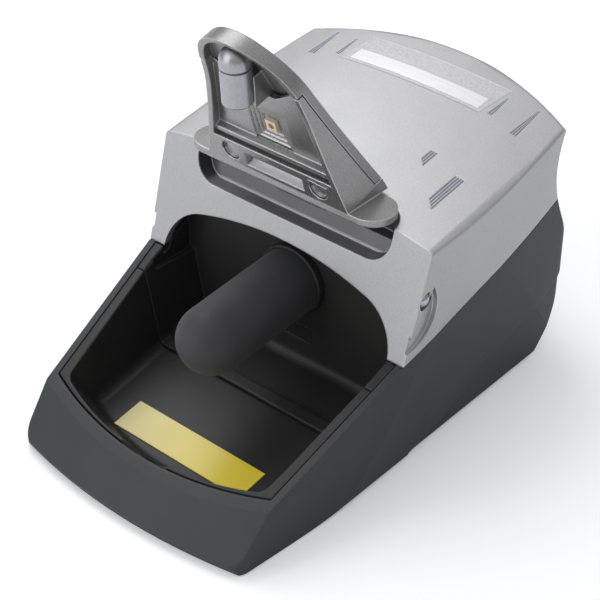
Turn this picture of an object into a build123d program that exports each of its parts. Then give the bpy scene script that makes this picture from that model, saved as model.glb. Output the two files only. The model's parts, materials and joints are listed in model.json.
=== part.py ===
from build123d import *
import math
import os

os.makedirs("parts", exist_ok=True)

# All lengths are millimetres. X is the width, -Y the front, +Z up.
# The origin lies on the table under the middle of the body.

# Whole body
body_front = -61.5
body_rear = 61.5
widest_half = 39.4
plan_bulge_half = 39.2
plan_bulge_y = 15.0
plate_half = 38.0
front_half = 33.0
front_corner_y = -57.8
rear_half = 35.8
rear_corner_y = 56.8
front_corner_radius = 4.0
rear_corner_radius = 8.0
high_above = 90.0
far_out = 90.0
overrun = 2.0
seam_gap = 0.25
fit_gap = 0.3

# Front face, turned about an upright axis behind it
front_axis_y = 92.0
front_foot_y = -60.3
front_bulge_z = 2.6
rim_front_y = -55.0

# Rear face, turned about an upright axis ahead of it
rear_axis_y = -65.0
rear_foot_y = 50.5
rear_low_y = 57.6
rear_low_z = 11.0
belly_z = 23.0
waist_y = 53.6
waist_z = 45.0
lip_y = 56.6
lip_z = 66.0

# Cross-section
foot_half = 36.2
foot_edge_radius = 1.8
hip_half = 38.4
hip_z = 27.0
shoulder_z = 50.0
crown_rise = 3.0
top_edge_radius = 2.4
top_rounding = 1.0

# Rim, plate and top
plate_foot_y = -10.0
plate_foot_z = 30.5
rim_slope = 23.8
plate_lean = 16.6
top_slope = 8.0
plate_top_y = -2.3
plate_top_z = 56.3

# Parting lines
upper_mid_y = 18.0
upper_mid_z = 38.7
upper_rear_y = 70.0
upper_rear_z = 48.8
foot_start_y = -4.2
foot_start_z = 1.6
foot_bend_y = 7.0
foot_bend_z = 5.2
foot_rise_y = 20.5
foot_rise_z = 12.8
foot_end_y = 70.0
foot_end_z = 24.8
foot_recess = 0.4

# Walls
body_low_z = 0.3
seam_reach = 0.8
shell_wall = 1.7
top_wall = 2.0
liner_wall = 1.6

# Basin and chamber
rim_corner_y = -49.3
basin_front_half = 29.9
basin_split_half = 33.1
basin_corner_radius = 3.5
basin_depth = 26.0
basin_taper = 11.0
basin_floor_y = -50.0
basin_floor_z = 3.0
split_y = -17.5
split_floor_z = 7.4
back_wall_y = -1.5
floor_radius = 2.5
step_height = 0.9
lip_width = 3.4
lip_height = 0.8
chamber_half = 33.4
chamber_front_y = -14.0
chamber_low_z = 26.0
chamber_ceiling_z = 45.4
chamber_corner_radius = 11.5
arch_half = 33.5
arch_shoulder_x = 24.0
arch_shoulder_z = 41.5
arch_bend_x = 31.2
arch_bend_z = 36.8
arch_top_z = 44.6
scoop_radius = 9.0
scoop_depth = 2.0
flange_thickness = 1.4
flange_drop = 0.1
rim_flare = 0.6

# Label panel
label_half = 19.3
label_front_y = -42.4
label_depth = 8.6
label_thickness = 0.3

# Ring post
post_radius = 8.1
post_length = 27.8
post_droop = 3.8
post_root_z = 32.3
core_radius = 3.6
core_length = 21.0
collar_radius = 8.8
collar_bore_radius = 8.1
collar_thickness = 1.9
collar_edge = 0.45
post_screw_radius = 1.4
post_screw_length = 7.0
screw_head_height = 1.6

# Hood
hood_front_y = -7.6
slab_top_z = 60.9
slab_thickness = 1.6
slab_half = 27.7
slab_depth = 10.9
hood_lean = 15.0
hood_half = 20.0
hood_wall = 1.4
cover_wall = 1.5
hood_waist_half = 16.1
hood_waist_h = 15.0
hood_cheek_half = 13.6
hood_cheek_h = 28.0
hood_brow_half = 11.4
hood_brow_h = 35.0
hood_crown_half = 5.4
hood_crown_h = 40.9
hood_height = 42.4
hood_bend_h = 21.0
hood_tip_front = 5.0
hood_base_depth = 12.0
hood_tip_back = -0.8
seam_base_depth = 9.6
cover_step_h = 29.6
cover_low_h = 0.6
rib_h = 8.0
rib_height = 2.4
rib_reach = 1.5
rib_taper = 20.0
foot_wall_h = 6.4
foot_wall_depth = 1.8
hood_skirt = 5.0
panel_depth = 1.9
panel_thickness = 1.9
panel_lean = 17.7
pocket_foot_half = 4.2
pocket_foot_h = 24.2
pocket_cheek_h = 29.4
slot_half = 8.2
slot_low = 1.0
slot_height = 3.4
screw_x = 12.5
screw_h = 3.3
screw_sink = 1.4
screw_boss_length = 5.6
screw_ring_radius = 3.0
screw_head_radius = 2.2
hood_screw_head = 1.1
screw_shank_radius = 0.9
screw_shank_length = 7.0
slot_cut_width = 0.5
slot_cut_depth = 0.4
light_h = 14.2
light_side = 3.0
light_base_height = 0.9
emitter_radius = 0.75
emitter_height = 0.4
step_side = 1.9
step_drop = 0.3
step_count = 4
lamp_radius = 3.4
lamp_low_h = 26.5
lamp_low_depth = -4.8
lamp_lean_back = 11.4
lamp_length = 8.3
lamp_neck = 1.4
lamp_groove = 0.35
cradle_half = 2.6
cradle_rise = 2.0
cradle_front_depth = -3.6
light_board_drop = -1.8
light_board_width = 12.0
light_board_height = 9.0
light_board_thickness = 0.8

# Hinge of the hood
hinge_y = 1.5
hinge_z = 57.6
hinge_barrel_radius = 1.4
hinge_pin_radius = 0.7
running_gap = 0.06
hinge_block_half = 7.0
knuckle_length = 8.0
notch_low_z = 49.1
notch_gap = 0.45
notch_ledge_z = 52.4
notch_ledge_y = -0.8
trough_wall = 1.6

# Side recess and ball
ball_wall_x = 38.6
ball_travel = 0.8
recess_depth = 1.1
recess_low_y = -10.4
recess_low_z = 33.4
recess_top_y = -1.2
recess_top_z = 47.4
recess_bulge_y = -0.2
recess_bulge_z = 40.0
ball_radius = 1.9
ball_y = -2.9
ball_z = 44.3
ball_show = 0.9
sleeve_radius = 2.6
sleeve_length = 4.6

# Marks on the top
mark_thickness = 0.3
mark_width = 0.42
mark_pitch = 0.68
mark_slant = 45.0
mark_tip_width = 0.1
mark_tip_share = 0.25
outer_bar_count = 4
outer_bar_x = 29.2
outer_bar_front_y = 9.0
outer_bar_rear_y = 19.4
inner_bar_count = 3
inner_bar_x = 19.6
inner_bar_front_y = 18.5
inner_bar_rear_y = 22.8
outer_pointer_count = 3
outer_pointer_x = 29.5
outer_pointer_y = 38.3
outer_pointer_length = 10.4
inner_pointer_count = 2
inner_pointer_right_x = 21.4
inner_pointer_left_x = 23.2
inner_pointer_y = 40.7
inner_pointer_length = 7.3
name_front_y = 39.8
name_depth = 10.4
name_half = 20.4
name_slant = 1.4
name_strip_depth = 4.2
name_strip_inset = 1.0
name_thickness = 0.5

# Boards and small electrics
board_z = 47.2
board_half = 26.0
board_front_y = 12.0
board_depth = 35.0
board_thickness = 1.6
board_corner_radius = 1.5
board_hole_inset = 3.5
pillar_radius = 2.6
board_screw_radius = 1.1
board_screw_length = 6.0
chip_side = 8.0
chip_height = 1.4
chip_pitch = 12.0
chip_y = 22.0
buzzer_radius = 6.0
buzzer_height = 5.0
buzzer_hole_radius = 1.2
buzzer_x = 8.0
buzzer_y = 36.0
sensor_window_half = 5.0
sensor_window_height = 4.0
sensor_window_z = 17.5
sensor_board_half = 12.0
sensor_board_low_z = 12.5
sensor_board_height = 10.0
sensor_board_thickness = 1.2

# Battery, holder and door
battery_x = -1.4
battery_y = 25.5
battery_low_z = 3.9
battery_length = 48.5
battery_width = 26.5
battery_height = 17.5
battery_corner_radius = 2.0
terminal_half_spacing = 6.4
terminal_radius = 3.2
terminal_height = 3.0
contact_width = 24.0
contact_height = 12.0
contact_thickness = 0.8
holder_wall = 1.2
door_half_x = 24.5
door_half_y = 13.5
door_corner_radius = 1.5
door_lip_inset = 0.6
door_lip_wall = 1.0
door_lip_height = 1.2
door_grip_pitch = 3.0
door_grip_length = 5.0

# Rear wall, inlet and switch
rear_face_y = 58.3
rear_face_z = 34.0
rear_face_lean = 24.8
inlet_x = -14.0
inlet_radius = 4.2
inlet_bore = 2.9
inlet_wall = 1.4
inlet_pin_radius = 0.8
inlet_length = 11.0
inlet_show = 0.6
switch_x = 12.0
switch_show = 0.9
switch_half_width = 7.0
switch_half_height = 5.2
switch_wall = 1.3
switch_length = 10.0
rocker_depth = 1.0
rocker_tilt = 9.0
rocker_radius = 3.6
rocker_half_width = 5.4
rocker_face = 1.6
rocker_back = 1.5
trunnion_radius = 0.6
trunnion_length = 0.9

# Case screws and feet
case_post_top_z = 45.0
case_post_x = 30.4
case_post_front_y = 7.0
case_post_rear_y = 42.2
case_post_radius = 2.8
case_bore_radius = 2.0
case_screw_radius = 1.1
case_screw_head = 1.8
case_screw_head_z = 40.0
case_screw_length = 10.0
pad_radius = 3.6
pad_sink = 0.7
pad_front_x = 24.0
pad_front_y = -46.0
pad_rear_x = 30.0
pad_rear_y = 28.5


def slanted(angle):
    """Sine and cosine of an angle given in degrees."""
    return math.sin(math.radians(angle)), math.cos(math.radians(angle))


rim_sine, rim_cosine = slanted(rim_slope)
lean_sine, lean_cosine = slanted(plate_lean)
top_sine, top_cosine = slanted(top_slope)
hood_sine, hood_cosine = slanted(hood_lean)
rear_face_sine, rear_face_cosine = slanted(rear_face_lean)
droop_sine, droop_cosine = slanted(post_droop)

rim_plane = Plane(origin=(0, plate_foot_y, plate_foot_z), x_dir=(1, 0, 0), z_dir=(0, -rim_sine, rim_cosine))
top_plane = Plane(origin=(0, plate_top_y, plate_top_z), x_dir=(1, 0, 0), z_dir=(0, -top_cosine, -top_sine))
hood_plane = Plane(origin=(0, hood_front_y, slab_top_z), x_dir=(1, 0, 0), z_dir=(0, -hood_cosine, -hood_sine))


def rim_height(y):
    """Height of the rim line at a place along the body."""
    return plate_foot_z + (y - plate_foot_y) * rim_sine / rim_cosine


def plan_face(inset):
    """Plan outline of the body drawn in by inset: long side arcs with bowed ends."""
    with BuildSketch() as plan:
        with BuildLine():
            Line((front_half, front_corner_y), (plate_half, plate_foot_y))
            ThreePointArc(
                (plate_half, plate_foot_y), (plan_bulge_half, plan_bulge_y), (rear_half, rear_corner_y)
            )
            ThreePointArc((rear_half, rear_corner_y), (0, body_rear), (-rear_half, rear_corner_y))
            ThreePointArc(
                (-rear_half, rear_corner_y), (-plan_bulge_half, plan_bulge_y), (-plate_half, plate_foot_y)
            )
            Line((-plate_half, plate_foot_y), (-front_half, front_corner_y))
            ThreePointArc((-front_half, front_corner_y), (0, body_front), (front_half, front_corner_y))
        make_face()
        if inset:
            offset(amount=-inset, kind=Kind.INTERSECTION)
        fillet(plan.vertices().group_by(Axis.Y)[0], radius=front_corner_radius - inset)
        fillet(plan.vertices().group_by(Axis.Y)[-1], radius=rear_corner_radius - inset)
    return plan.sketch


def body_block(inset, lid_inset):
    """The whole outer body drawn in by inset at the sides and by lid_inset at rim, plate and top."""
    with BuildPart() as block:
        with BuildSketch(Plane.XY):
            add(plan_face(inset))
        extrude(amount=high_above)
        with BuildSketch(Plane.YZ):
            with BuildLine():
                Polyline(
                    (-far_out, -far_out),
                    (far_out, -far_out),
                    (far_out, high_above),
                    (plate_foot_y + (high_above - plate_foot_z) * lean_sine / lean_cosine, high_above),
                    (plate_foot_y, plate_foot_z),
                    (-far_out, rim_height(-far_out)),
                    close=True,
                )
            make_face()
            offset(amount=-lid_inset, kind=Kind.INTERSECTION)
        extrude(amount=far_out, both=True, mode=Mode.INTERSECT)
        with BuildSketch(top_plane):
            with BuildLine():
                Polyline(
                    (widest_half, 0), (widest_half, -far_out), (-widest_half, -far_out), (-widest_half, 0)
                )
                ThreePointArc((-widest_half, 0), (0, crown_rise), (widest_half, 0))
            make_face()
            fillet(vertices().group_by(Axis.Y)[-1], radius=top_edge_radius)
            offset(amount=-lid_inset)
        extrude(amount=far_out, both=True, mode=Mode.INTERSECT)
        with BuildSketch(Plane.XZ):
            with BuildLine():
                Line((-foot_half, body_low_z), (foot_half, body_low_z))
                ThreePointArc((foot_half, body_low_z), (hip_half, hip_z), (widest_half, shoulder_z))
                Polyline(
                    (widest_half, shoulder_z),
                    (widest_half, far_out),
                    (-widest_half, far_out),
                    (-widest_half, shoulder_z),
                )
                ThreePointArc((-widest_half, shoulder_z), (-hip_half, hip_z), (-foot_half, body_low_z))
            make_face()
            fillet(vertices().group_by(Axis.Y)[0], radius=foot_edge_radius)
            offset(amount=-inset)
        extrude(amount=far_out, both=True, mode=Mode.INTERSECT)
        with BuildSketch(Plane.YZ):
            with BuildLine():
                lean_rate = (rim_front_y - body_front) / (rim_height(rim_front_y) - front_bulge_z)
                Line((front_axis_y, 0), (front_foot_y + inset, 0))
                Line((front_foot_y + inset, 0), (body_front + inset, front_bulge_z))
                Line(
                    (body_front + inset, front_bulge_z),
                    (body_front + inset + lean_rate * (high_above - front_bulge_z), high_above),
                )
                Line(
                    (body_front + inset + lean_rate * (high_above - front_bulge_z), high_above),
                    (front_axis_y, high_above),
                )
                Line((front_axis_y, high_above), (front_axis_y, 0))
            make_face()
        revolve(axis=Axis((0, front_axis_y, 0), (0, 0, 1)), mode=Mode.INTERSECT)
        with BuildSketch(Plane.YZ):
            with BuildLine():
                Line((rear_axis_y, 0), (rear_foot_y - inset, 0))
                Spline(
                    (rear_foot_y - inset, 0),
                    (rear_low_y - inset, rear_low_z),
                    (body_rear - inset, belly_z),
                    (waist_y - inset, waist_z),
                    (lip_y - inset, lip_z),
                )
                Line((lip_y - inset, lip_z), (lip_y - inset, high_above))
                Line((lip_y - inset, high_above), (rear_axis_y, high_above))
                Line((rear_axis_y, high_above), (rear_axis_y, 0))
            make_face()
        revolve(axis=Axis((0, rear_axis_y, 0), (0, 0, 1)), mode=Mode.INTERSECT)
    return block.part


def side_region(points):
    """A wide block whose side outline runs through the given places of Y and Z."""
    with BuildPart() as region:
        with BuildSketch(Plane.YZ):
            with BuildLine():
                Polyline(*points, close=True)
            make_face()
        extrude(amount=far_out, both=True)
    return region.part


def above_parting(gap):
    """Everything over the parting line of the silver housing, which lies lower by gap."""
    with BuildPart() as region:
        with BuildSketch(Plane.YZ):
            with BuildLine():
                Line((-far_out, plate_foot_z - gap), (plate_foot_y, plate_foot_z - gap))
                ThreePointArc(
                    (plate_foot_y, plate_foot_z - gap),
                    (upper_mid_y, upper_mid_z - gap),
                    (upper_rear_y, upper_rear_z - gap),
                )
                Polyline(
                    (upper_rear_y, upper_rear_z - gap),
                    (upper_rear_y, high_above),
                    (-far_out, high_above),
                    (-far_out, plate_foot_z - gap),
                )
            make_face()
        extrude(amount=far_out, both=True)
    return region.part


def below_foot_line(gap):
    """Everything under the parting line of the foot shell, which lies higher by gap."""
    with BuildPart() as region:
        with BuildSketch(Plane.YZ):
            with BuildLine():
                Line((foot_start_y - gap, -overrun), (foot_start_y - gap, foot_start_z + gap))
                ThreePointArc(
                    (foot_start_y - gap, foot_start_z + gap),
                    (foot_bend_y, foot_bend_z + gap),
                    (foot_rise_y, foot_rise_z + gap),
                )
                Line((foot_rise_y, foot_rise_z + gap), (foot_end_y, foot_end_z + gap))
                Polyline(
                    (foot_end_y, foot_end_z + gap),
                    (foot_end_y, -overrun),
                    (foot_start_y - gap, -overrun),
                )
            make_face()
        extrude(amount=far_out, both=True)
    return region.part


# Basin, shared by the tray liner and the chamber liner
floor_rate = (split_floor_z - basin_floor_z) / (split_y - basin_floor_y)
rim_inset = shell_wall + fit_gap + liner_wall
flare_taper = 45


def floor_height(y):
    """Height of the basin floor at a place along the body."""
    return split_floor_z + (y - split_y) * floor_rate


def basin_block(grow, flare=0):
    """The tapered basin under the rim, grown out and down by grow, with its mouth bevelled by flare."""
    rim_front_s = (rim_front_y - plate_foot_y) / rim_cosine + rim_inset
    rim_corner_s = (rim_corner_y - plate_foot_y) / rim_cosine + rim_inset
    split_s = (split_y - plate_foot_y) / rim_cosine
    with BuildPart() as basin:
        with BuildSketch(rim_plane) as outline:
            with BuildLine():
                Polyline(
                    (basin_front_half, rim_corner_s),
                    (basin_split_half, split_s),
                    (chamber_half, -split_s),
                    (-chamber_half, -split_s),
                    (-basin_split_half, split_s),
                    (-basin_front_half, rim_corner_s),
                )
                ThreePointArc(
                    (-basin_front_half, rim_corner_s), (0, rim_front_s), (basin_front_half, rim_corner_s)
                )
            make_face()
            fillet(outline.vertices().group_by(Axis.Y)[0], radius=basin_corner_radius)
            offset(amount=grow)
        extrude(amount=step_height)
        extrude(outline.sketch, amount=-basin_depth, taper=basin_taper)
        if flare:
            with BuildSketch(rim_plane):
                add(outline.sketch)
                offset(amount=flare)
            extrude(amount=-flare, taper=flare_taper)
        add(
            side_region(
                (
                    (-far_out, floor_height(-far_out) - grow),
                    (back_wall_y + grow, floor_height(back_wall_y) - grow),
                    (back_wall_y + grow, high_above),
                    (-far_out, high_above),
                )
            ),
            mode=Mode.INTERSECT,
        )
        fillet(basin.faces().filter_by(GeomType.PLANE).sort_by(Axis.Z)[0].edges(), radius=floor_radius)
    return basin.part


def chamber_block(grow):
    """The upright chamber behind the plate, grown by grow."""
    with BuildPart() as chamber:
        with BuildSketch(Plane.XZ.offset(-back_wall_y - grow)) as outline:
            with Locations((0, chamber_ceiling_z)):
                chamber_height = chamber_ceiling_z - chamber_low_z
                Rectangle(2 * chamber_half, chamber_height, align=(Align.CENTER, Align.MAX))
            fillet(outline.vertices().group_by(Axis.Y)[-1], radius=chamber_corner_radius)
            offset(amount=grow)
        extrude(amount=back_wall_y + grow - chamber_front_y)
    return chamber.part


basin_hollow = basin_block(0, rim_flare)
chamber_hollow = chamber_block(0)
liner_room = body_block(shell_wall + fit_gap, 0)
outer_block = body_block(0, 0)
inner_block = body_block(top_wall, top_wall)
ahead_of_plate = side_region(
    (
        (-far_out, -overrun),
        (plate_foot_y - fit_gap, -overrun),
        (plate_foot_y - fit_gap, high_above),
        (-far_out, high_above),
    )
)
ahead_of_split = side_region(
    ((-far_out, -overrun), (split_y, -overrun), (split_y, high_above), (-far_out, high_above))
)
behind_split = side_region(
    (
        (split_y + fit_gap, -overrun),
        (far_out, -overrun),
        (far_out, high_above),
        (split_y + fit_gap, high_above),
    )
)

# Label panel
label_room = side_region(
    (
        (label_front_y, floor_height(label_front_y)),
        (label_front_y + label_depth, floor_height(label_front_y + label_depth)),
        (label_front_y + label_depth, floor_height(label_front_y + label_depth) + label_thickness),
        (label_front_y, floor_height(label_front_y) + label_thickness),
    )
)
with BuildPart() as label_panel:
    with BuildSketch(Plane.XY):
        with Locations((0, label_front_y + label_depth / 2)):
            Rectangle(2 * label_half, label_depth)
    extrude(amount=plate_foot_z)
    add(label_room, mode=Mode.INTERSECT)
label_panel.part.label = "label_panel"
export_step(label_panel.part, "parts/label_panel.step")

# Rim flange, which fills the shell's mouth
rim_face = liner_room.faces().filter_by(rim_plane)[0]
with BuildPart() as rim_room:
    extrude(rim_face, amount=high_above, dir=(0, 0, -1))
with BuildPart() as flange:
    with BuildSketch(rim_plane.offset(-flange_drop)):
        Rectangle(2 * far_out, 2 * far_out)
    extrude(amount=-flange_thickness)
    add(rim_room.part, mode=Mode.INTERSECT)

# Tray liner
with BuildPart() as tray_liner:
    add(basin_block(liner_wall))
    add(flange.part)
    add(rim_room.part, mode=Mode.INTERSECT)
    add(liner_room, mode=Mode.INTERSECT)
    add(ahead_of_split, mode=Mode.INTERSECT)
    add(basin_hollow, mode=Mode.SUBTRACT)
    with BuildSketch(rim_plane.offset(-flange_drop)):
        Rectangle(2 * far_out, 2 * far_out)
    extrude(amount=high_above, mode=Mode.SUBTRACT)
    with BuildSketch(Plane.XZ.offset(-rim_front_y - liner_wall)):
        with Locations((0, rim_height(rim_front_y) + scoop_radius - scoop_depth)):
            Circle(scoop_radius)
    extrude(amount=-rim_inset, mode=Mode.SUBTRACT)
    add(label_panel.part, mode=Mode.SUBTRACT)
tray_liner.part.label = "tray_liner"
export_step(tray_liner.part, "parts/tray_liner.step")

# Chamber liner
with BuildPart() as chamber_front:
    add(basin_block(liner_wall))
    add(chamber_block(liner_wall))
    add(flange.part)
    add(behind_split, mode=Mode.INTERSECT)
    add(ahead_of_plate, mode=Mode.INTERSECT)
    add(liner_room, mode=Mode.INTERSECT)
with BuildPart() as lip:
    add(basin_hollow)
    add(
        side_region(
            (
                (split_y + fit_gap, 0),
                (split_y + fit_gap, split_floor_z + lip_height),
                (split_y + lip_width, floor_height(split_y + lip_width) + lip_height),
                (split_y + lip_width + lip_height, 0),
            )
        ),
        mode=Mode.INTERSECT,
    )
with BuildPart() as chamber_liner:
    add(basin_block(liner_wall))
    add(chamber_block(liner_wall))
    add(behind_split, mode=Mode.INTERSECT)
    add(inner_block, mode=Mode.INTERSECT)
    add(chamber_front.part)
    add(basin_hollow, mode=Mode.SUBTRACT)
    add(chamber_hollow, mode=Mode.SUBTRACT)
    add(lip.part)
    with Locations((0, back_wall_y, sensor_window_z)):
        Box(2 * sensor_window_half, 2 * overrun + liner_wall, sensor_window_height, mode=Mode.SUBTRACT)
    with BuildSketch(Plane.XZ.offset(-back_wall_y + overrun)):
        with Locations((0, post_root_z)):
            Circle(post_screw_radius)
    extrude(amount=-liner_wall - 2 * overrun, mode=Mode.SUBTRACT)
chamber_liner.part.label = "chamber_liner"
export_step(chamber_liner.part, "parts/chamber_liner.step")

# Middle shell
with BuildPart() as seam_skin:
    add(body_block(-overrun, 0))
    add(body_block(seam_reach, -overrun), mode=Mode.SUBTRACT)
with BuildPart() as upper_groove:
    add(above_parting(seam_gap))
    add(seam_skin.part, mode=Mode.INTERSECT)
with BuildPart() as lower_groove:
    add(below_foot_line(seam_gap))
    add(seam_skin.part, mode=Mode.INTERSECT)
rear_plane = Plane(
    origin=(0, rear_face_y, rear_face_z), x_dir=(-1, 0, 0), z_dir=(0, rear_face_cosine, rear_face_sine)
)
inlet_place = (-inlet_x, 0)
switch_place = (-switch_x, 0)
front_pads = [(x, pad_front_y) for x in (-pad_front_x, pad_front_x)]
rear_pads = [(x, pad_rear_y) for x in (-pad_rear_x, pad_rear_x)]
with BuildPart() as middle_shell:
    add(outer_block)
    add(above_parting(0), mode=Mode.SUBTRACT)
    add(below_foot_line(0), mode=Mode.SUBTRACT)
    add(body_block(shell_wall, -overrun), mode=Mode.SUBTRACT)
    add(upper_groove.part, mode=Mode.SUBTRACT)
    add(lower_groove.part, mode=Mode.SUBTRACT)
    with BuildSketch(rear_plane.offset(far_out)):
        with Locations(inlet_place):
            Circle(inlet_radius)
        with Locations(switch_place):
            Rectangle(2 * switch_half_width, 2 * switch_half_height)
    extrude(amount=-far_out - switch_length, mode=Mode.SUBTRACT)
    with BuildSketch(Plane.XY):
        with Locations(*front_pads):
            Circle(pad_radius)
    extrude(amount=body_low_z + pad_sink, mode=Mode.SUBTRACT)
middle_shell.part.label = "middle_shell"
export_step(middle_shell.part, "parts/middle_shell.step")

# Foot shell
case_post_places = [
    (x, y) for x in (-case_post_x, case_post_x) for y in (case_post_front_y, case_post_rear_y)
]
foot_bottom_z = body_low_z + foot_recess
foot_floor_z = foot_bottom_z + shell_wall
with BuildPart() as foot_shell:
    add(body_block(foot_recess, 0))
    add(body_block(foot_recess + shell_wall, 0), mode=Mode.SUBTRACT)
    add(below_foot_line(0), mode=Mode.INTERSECT)
    with BuildSketch(Plane.XY.offset(foot_bottom_z)):
        with Locations(*case_post_places):
            Circle(case_post_radius)
    extrude(amount=case_post_top_z - foot_bottom_z)
    with BuildSketch(Plane.XY):
        with Locations(*case_post_places):
            Circle(case_bore_radius)
    extrude(amount=case_screw_head_z, mode=Mode.SUBTRACT)
    with BuildSketch(Plane.XY.offset(case_screw_head_z)):
        with Locations(*case_post_places):
            Circle(case_screw_radius)
    extrude(amount=case_screw_length, mode=Mode.SUBTRACT)
    with BuildSketch(Plane.XY):
        with Locations(*rear_pads):
            Circle(pad_radius)
    extrude(amount=body_low_z + pad_sink, mode=Mode.SUBTRACT)
    with BuildSketch(Plane.XY):
        with Locations((battery_x, battery_y)):
            RectangleRounded(2 * door_half_x, 2 * door_half_y, door_corner_radius)
    extrude(amount=foot_floor_z, mode=Mode.SUBTRACT)
foot_shell.part.label = "foot_shell"
export_step(foot_shell.part, "parts/foot_shell.step")


def notch_block(grow):
    """The hood notch in the housing, grown outwards by grow."""
    reach = slab_half + notch_gap + grow
    depth = slab_depth + 2 * (notch_gap + grow)
    with BuildPart() as notch:
        with BuildSketch(Plane.XY.offset(notch_low_z - grow)):
            with Locations((0, hood_front_y + slab_depth / 2)):
                SlotOverall(2 * reach, depth)
        extrude(amount=high_above)
        with BuildSketch(Plane.XZ):
            with Locations((0, notch_low_z - grow + depth / 2)):
                SlotOverall(2 * reach, depth)
            with Locations((0, notch_low_z - grow + depth / 2)):
                Rectangle(2 * reach, high_above, align=(Align.CENTER, Align.MIN))
        extrude(amount=far_out, both=True, mode=Mode.INTERSECT)
    return notch.part


mark_slant_rate = math.tan(math.radians(mark_slant))
under_skin = {depth: body_block(0, depth) for depth in (mark_thickness, name_thickness, name_thickness / 2)}


def mark_block(points, depth):
    """Part of the top skin under a closed outline of X and Y places, as thick as depth."""
    with BuildPart() as mark:
        with BuildSketch(Plane.XY.offset(plate_top_z - crown_rise)):
            with BuildLine():
                Polyline(*points, close=True)
            make_face()
        extrude(amount=plate_top_z)
        add(outer_block, mode=Mode.INTERSECT)
        add(under_skin[depth], mode=Mode.SUBTRACT)
    return mark.part


def bar_outlines(x, front_y, rear_y, count):
    """Thin bars side by side about x, with slanted front ends."""
    outlines = []
    for step in range(count):
        middle = (step - (count - 1) / 2) * mark_pitch
        low_x, high_x = middle - mark_width / 2, middle + mark_width / 2
        outlines.append(
            (
                (x + low_x, front_y - low_x * mark_slant_rate),
                (x + high_x, front_y - high_x * mark_slant_rate),
                (x + high_x, rear_y),
                (x + low_x, rear_y),
            )
        )
    return outlines


def pointer_outlines(x, front_y, length, count):
    """Thin strokes side by side about x that draw together towards the rear."""
    outlines = []
    for step in range(count):
        middle = (step - (count - 1) / 2) * mark_pitch
        tip = middle * mark_tip_share
        outlines.append(
            (
                (x + middle - mark_width / 2, front_y),
                (x + middle + mark_width / 2, front_y),
                (x + tip + mark_tip_width / 2, front_y + length),
                (x + tip - mark_tip_width / 2, front_y + length),
            )
        )
    return outlines


def marker_group(side, outlines):
    """Bars and pointer strokes on one side of the top, with bare room between them."""
    placed = [[(side * x, y) for x, y in outline] for outline in outlines]
    return Compound(children=[mark_block(outline, mark_thickness) for outline in placed])


markers = {}
for side_name, side in (("left", -1), ("right", 1)):
    inner_pointer_x = inner_pointer_left_x if side < 0 else inner_pointer_right_x
    outer_bars = bar_outlines(outer_bar_x, outer_bar_front_y, outer_bar_rear_y, outer_bar_count)
    inner_bars = bar_outlines(inner_bar_x, inner_bar_front_y, inner_bar_rear_y, inner_bar_count)
    outer_pointer = pointer_outlines(
        outer_pointer_x, outer_pointer_y, outer_pointer_length, outer_pointer_count
    )
    inner_pointer = pointer_outlines(
        inner_pointer_x, inner_pointer_y, inner_pointer_length, inner_pointer_count
    )
    markers[f"outer_marker_{side_name}"] = marker_group(side, outer_bars + outer_pointer)
    markers[f"inner_marker_{side_name}"] = marker_group(side, inner_bars + inner_pointer)
for marker_name, marker in markers.items():
    marker.label = marker_name
    export_step(marker, f"parts/{marker_name}.step")

name_outline = (
    (-name_half - name_slant, name_front_y),
    (name_half - name_slant, name_front_y),
    (name_half, name_front_y + name_depth),
    (-name_half, name_front_y + name_depth),
)
strip_outline = (
    (-name_half + name_strip_inset, name_front_y + name_strip_inset),
    (name_half - name_strip_inset - name_slant, name_front_y + name_strip_inset),
    (name_half - name_strip_inset - name_slant, name_front_y + name_strip_inset + name_strip_depth),
    (-name_half + name_strip_inset, name_front_y + name_strip_inset + name_strip_depth),
)
name_room = mark_block(name_outline, name_thickness)

# Name strip
with BuildPart() as name_strip:
    add(mark_block(strip_outline, name_thickness / 2))
name_strip.part.label = "name_strip"
export_step(name_strip.part, "parts/name_strip.step")

# Name panel
with BuildPart() as name_panel:
    add(name_room)
    add(name_strip.part, mode=Mode.SUBTRACT)
name_panel.part.label = "name_panel"
export_step(name_panel.part, "parts/name_panel.step")


def recess_block(side, depth):
    """The lens-shaped recess in one side of the housing."""
    with BuildPart() as recess:
        with BuildSketch(Plane.YZ.offset(side * (ball_wall_x - depth))):
            with BuildLine():
                Line((recess_low_y, recess_low_z), (recess_top_y, recess_top_z))
                ThreePointArc(
                    (recess_top_y, recess_top_z),
                    (recess_bulge_y, recess_bulge_z),
                    (recess_low_y, recess_low_z),
                )
            make_face()
        extrude(amount=side * far_out)
    return recess.part


pillar_places = [
    (x, y)
    for x in (-board_half + board_hole_inset, board_half - board_hole_inset)
    for y in (board_front_y + board_hole_inset, board_front_y + board_depth - board_hole_inset)
]
with BuildPart() as trough:
    add(notch_block(trough_wall))
    add(outer_block, mode=Mode.INTERSECT)
with BuildPart() as pillars:
    with BuildSketch(Plane.XY.offset(board_z + board_thickness)):
        with Locations(*pillar_places):
            Circle(pillar_radius)
    extrude(amount=high_above - board_z)
    with BuildSketch(Plane.XY.offset(case_post_top_z)):
        with Locations(*case_post_places):
            Circle(case_post_radius)
    extrude(amount=high_above - case_post_top_z)
    add(body_block(top_wall / 2, top_wall / 2), mode=Mode.INTERSECT)
ledge_low_y = notch_ledge_y + (notch_ledge_z - notch_low_z) / 2
top_edges = [
    edge
    for edge in outer_block.edges()
    if edge.center().Z > plate_top_z - crown_rise
    and edge.center().Y > hinge_y
    and edge.geom_type != GeomType.LINE
]
rounded_block = outer_block.fillet(top_rounding, top_edges)
with BuildPart() as ledge:
    add(notch_block(0))
    add(
        side_region(
            (
                (notch_ledge_y, notch_low_z),
                (far_out, notch_low_z),
                (far_out, notch_ledge_z),
                (ledge_low_y, notch_ledge_z),
            )
        ),
        mode=Mode.INTERSECT,
    )

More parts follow.
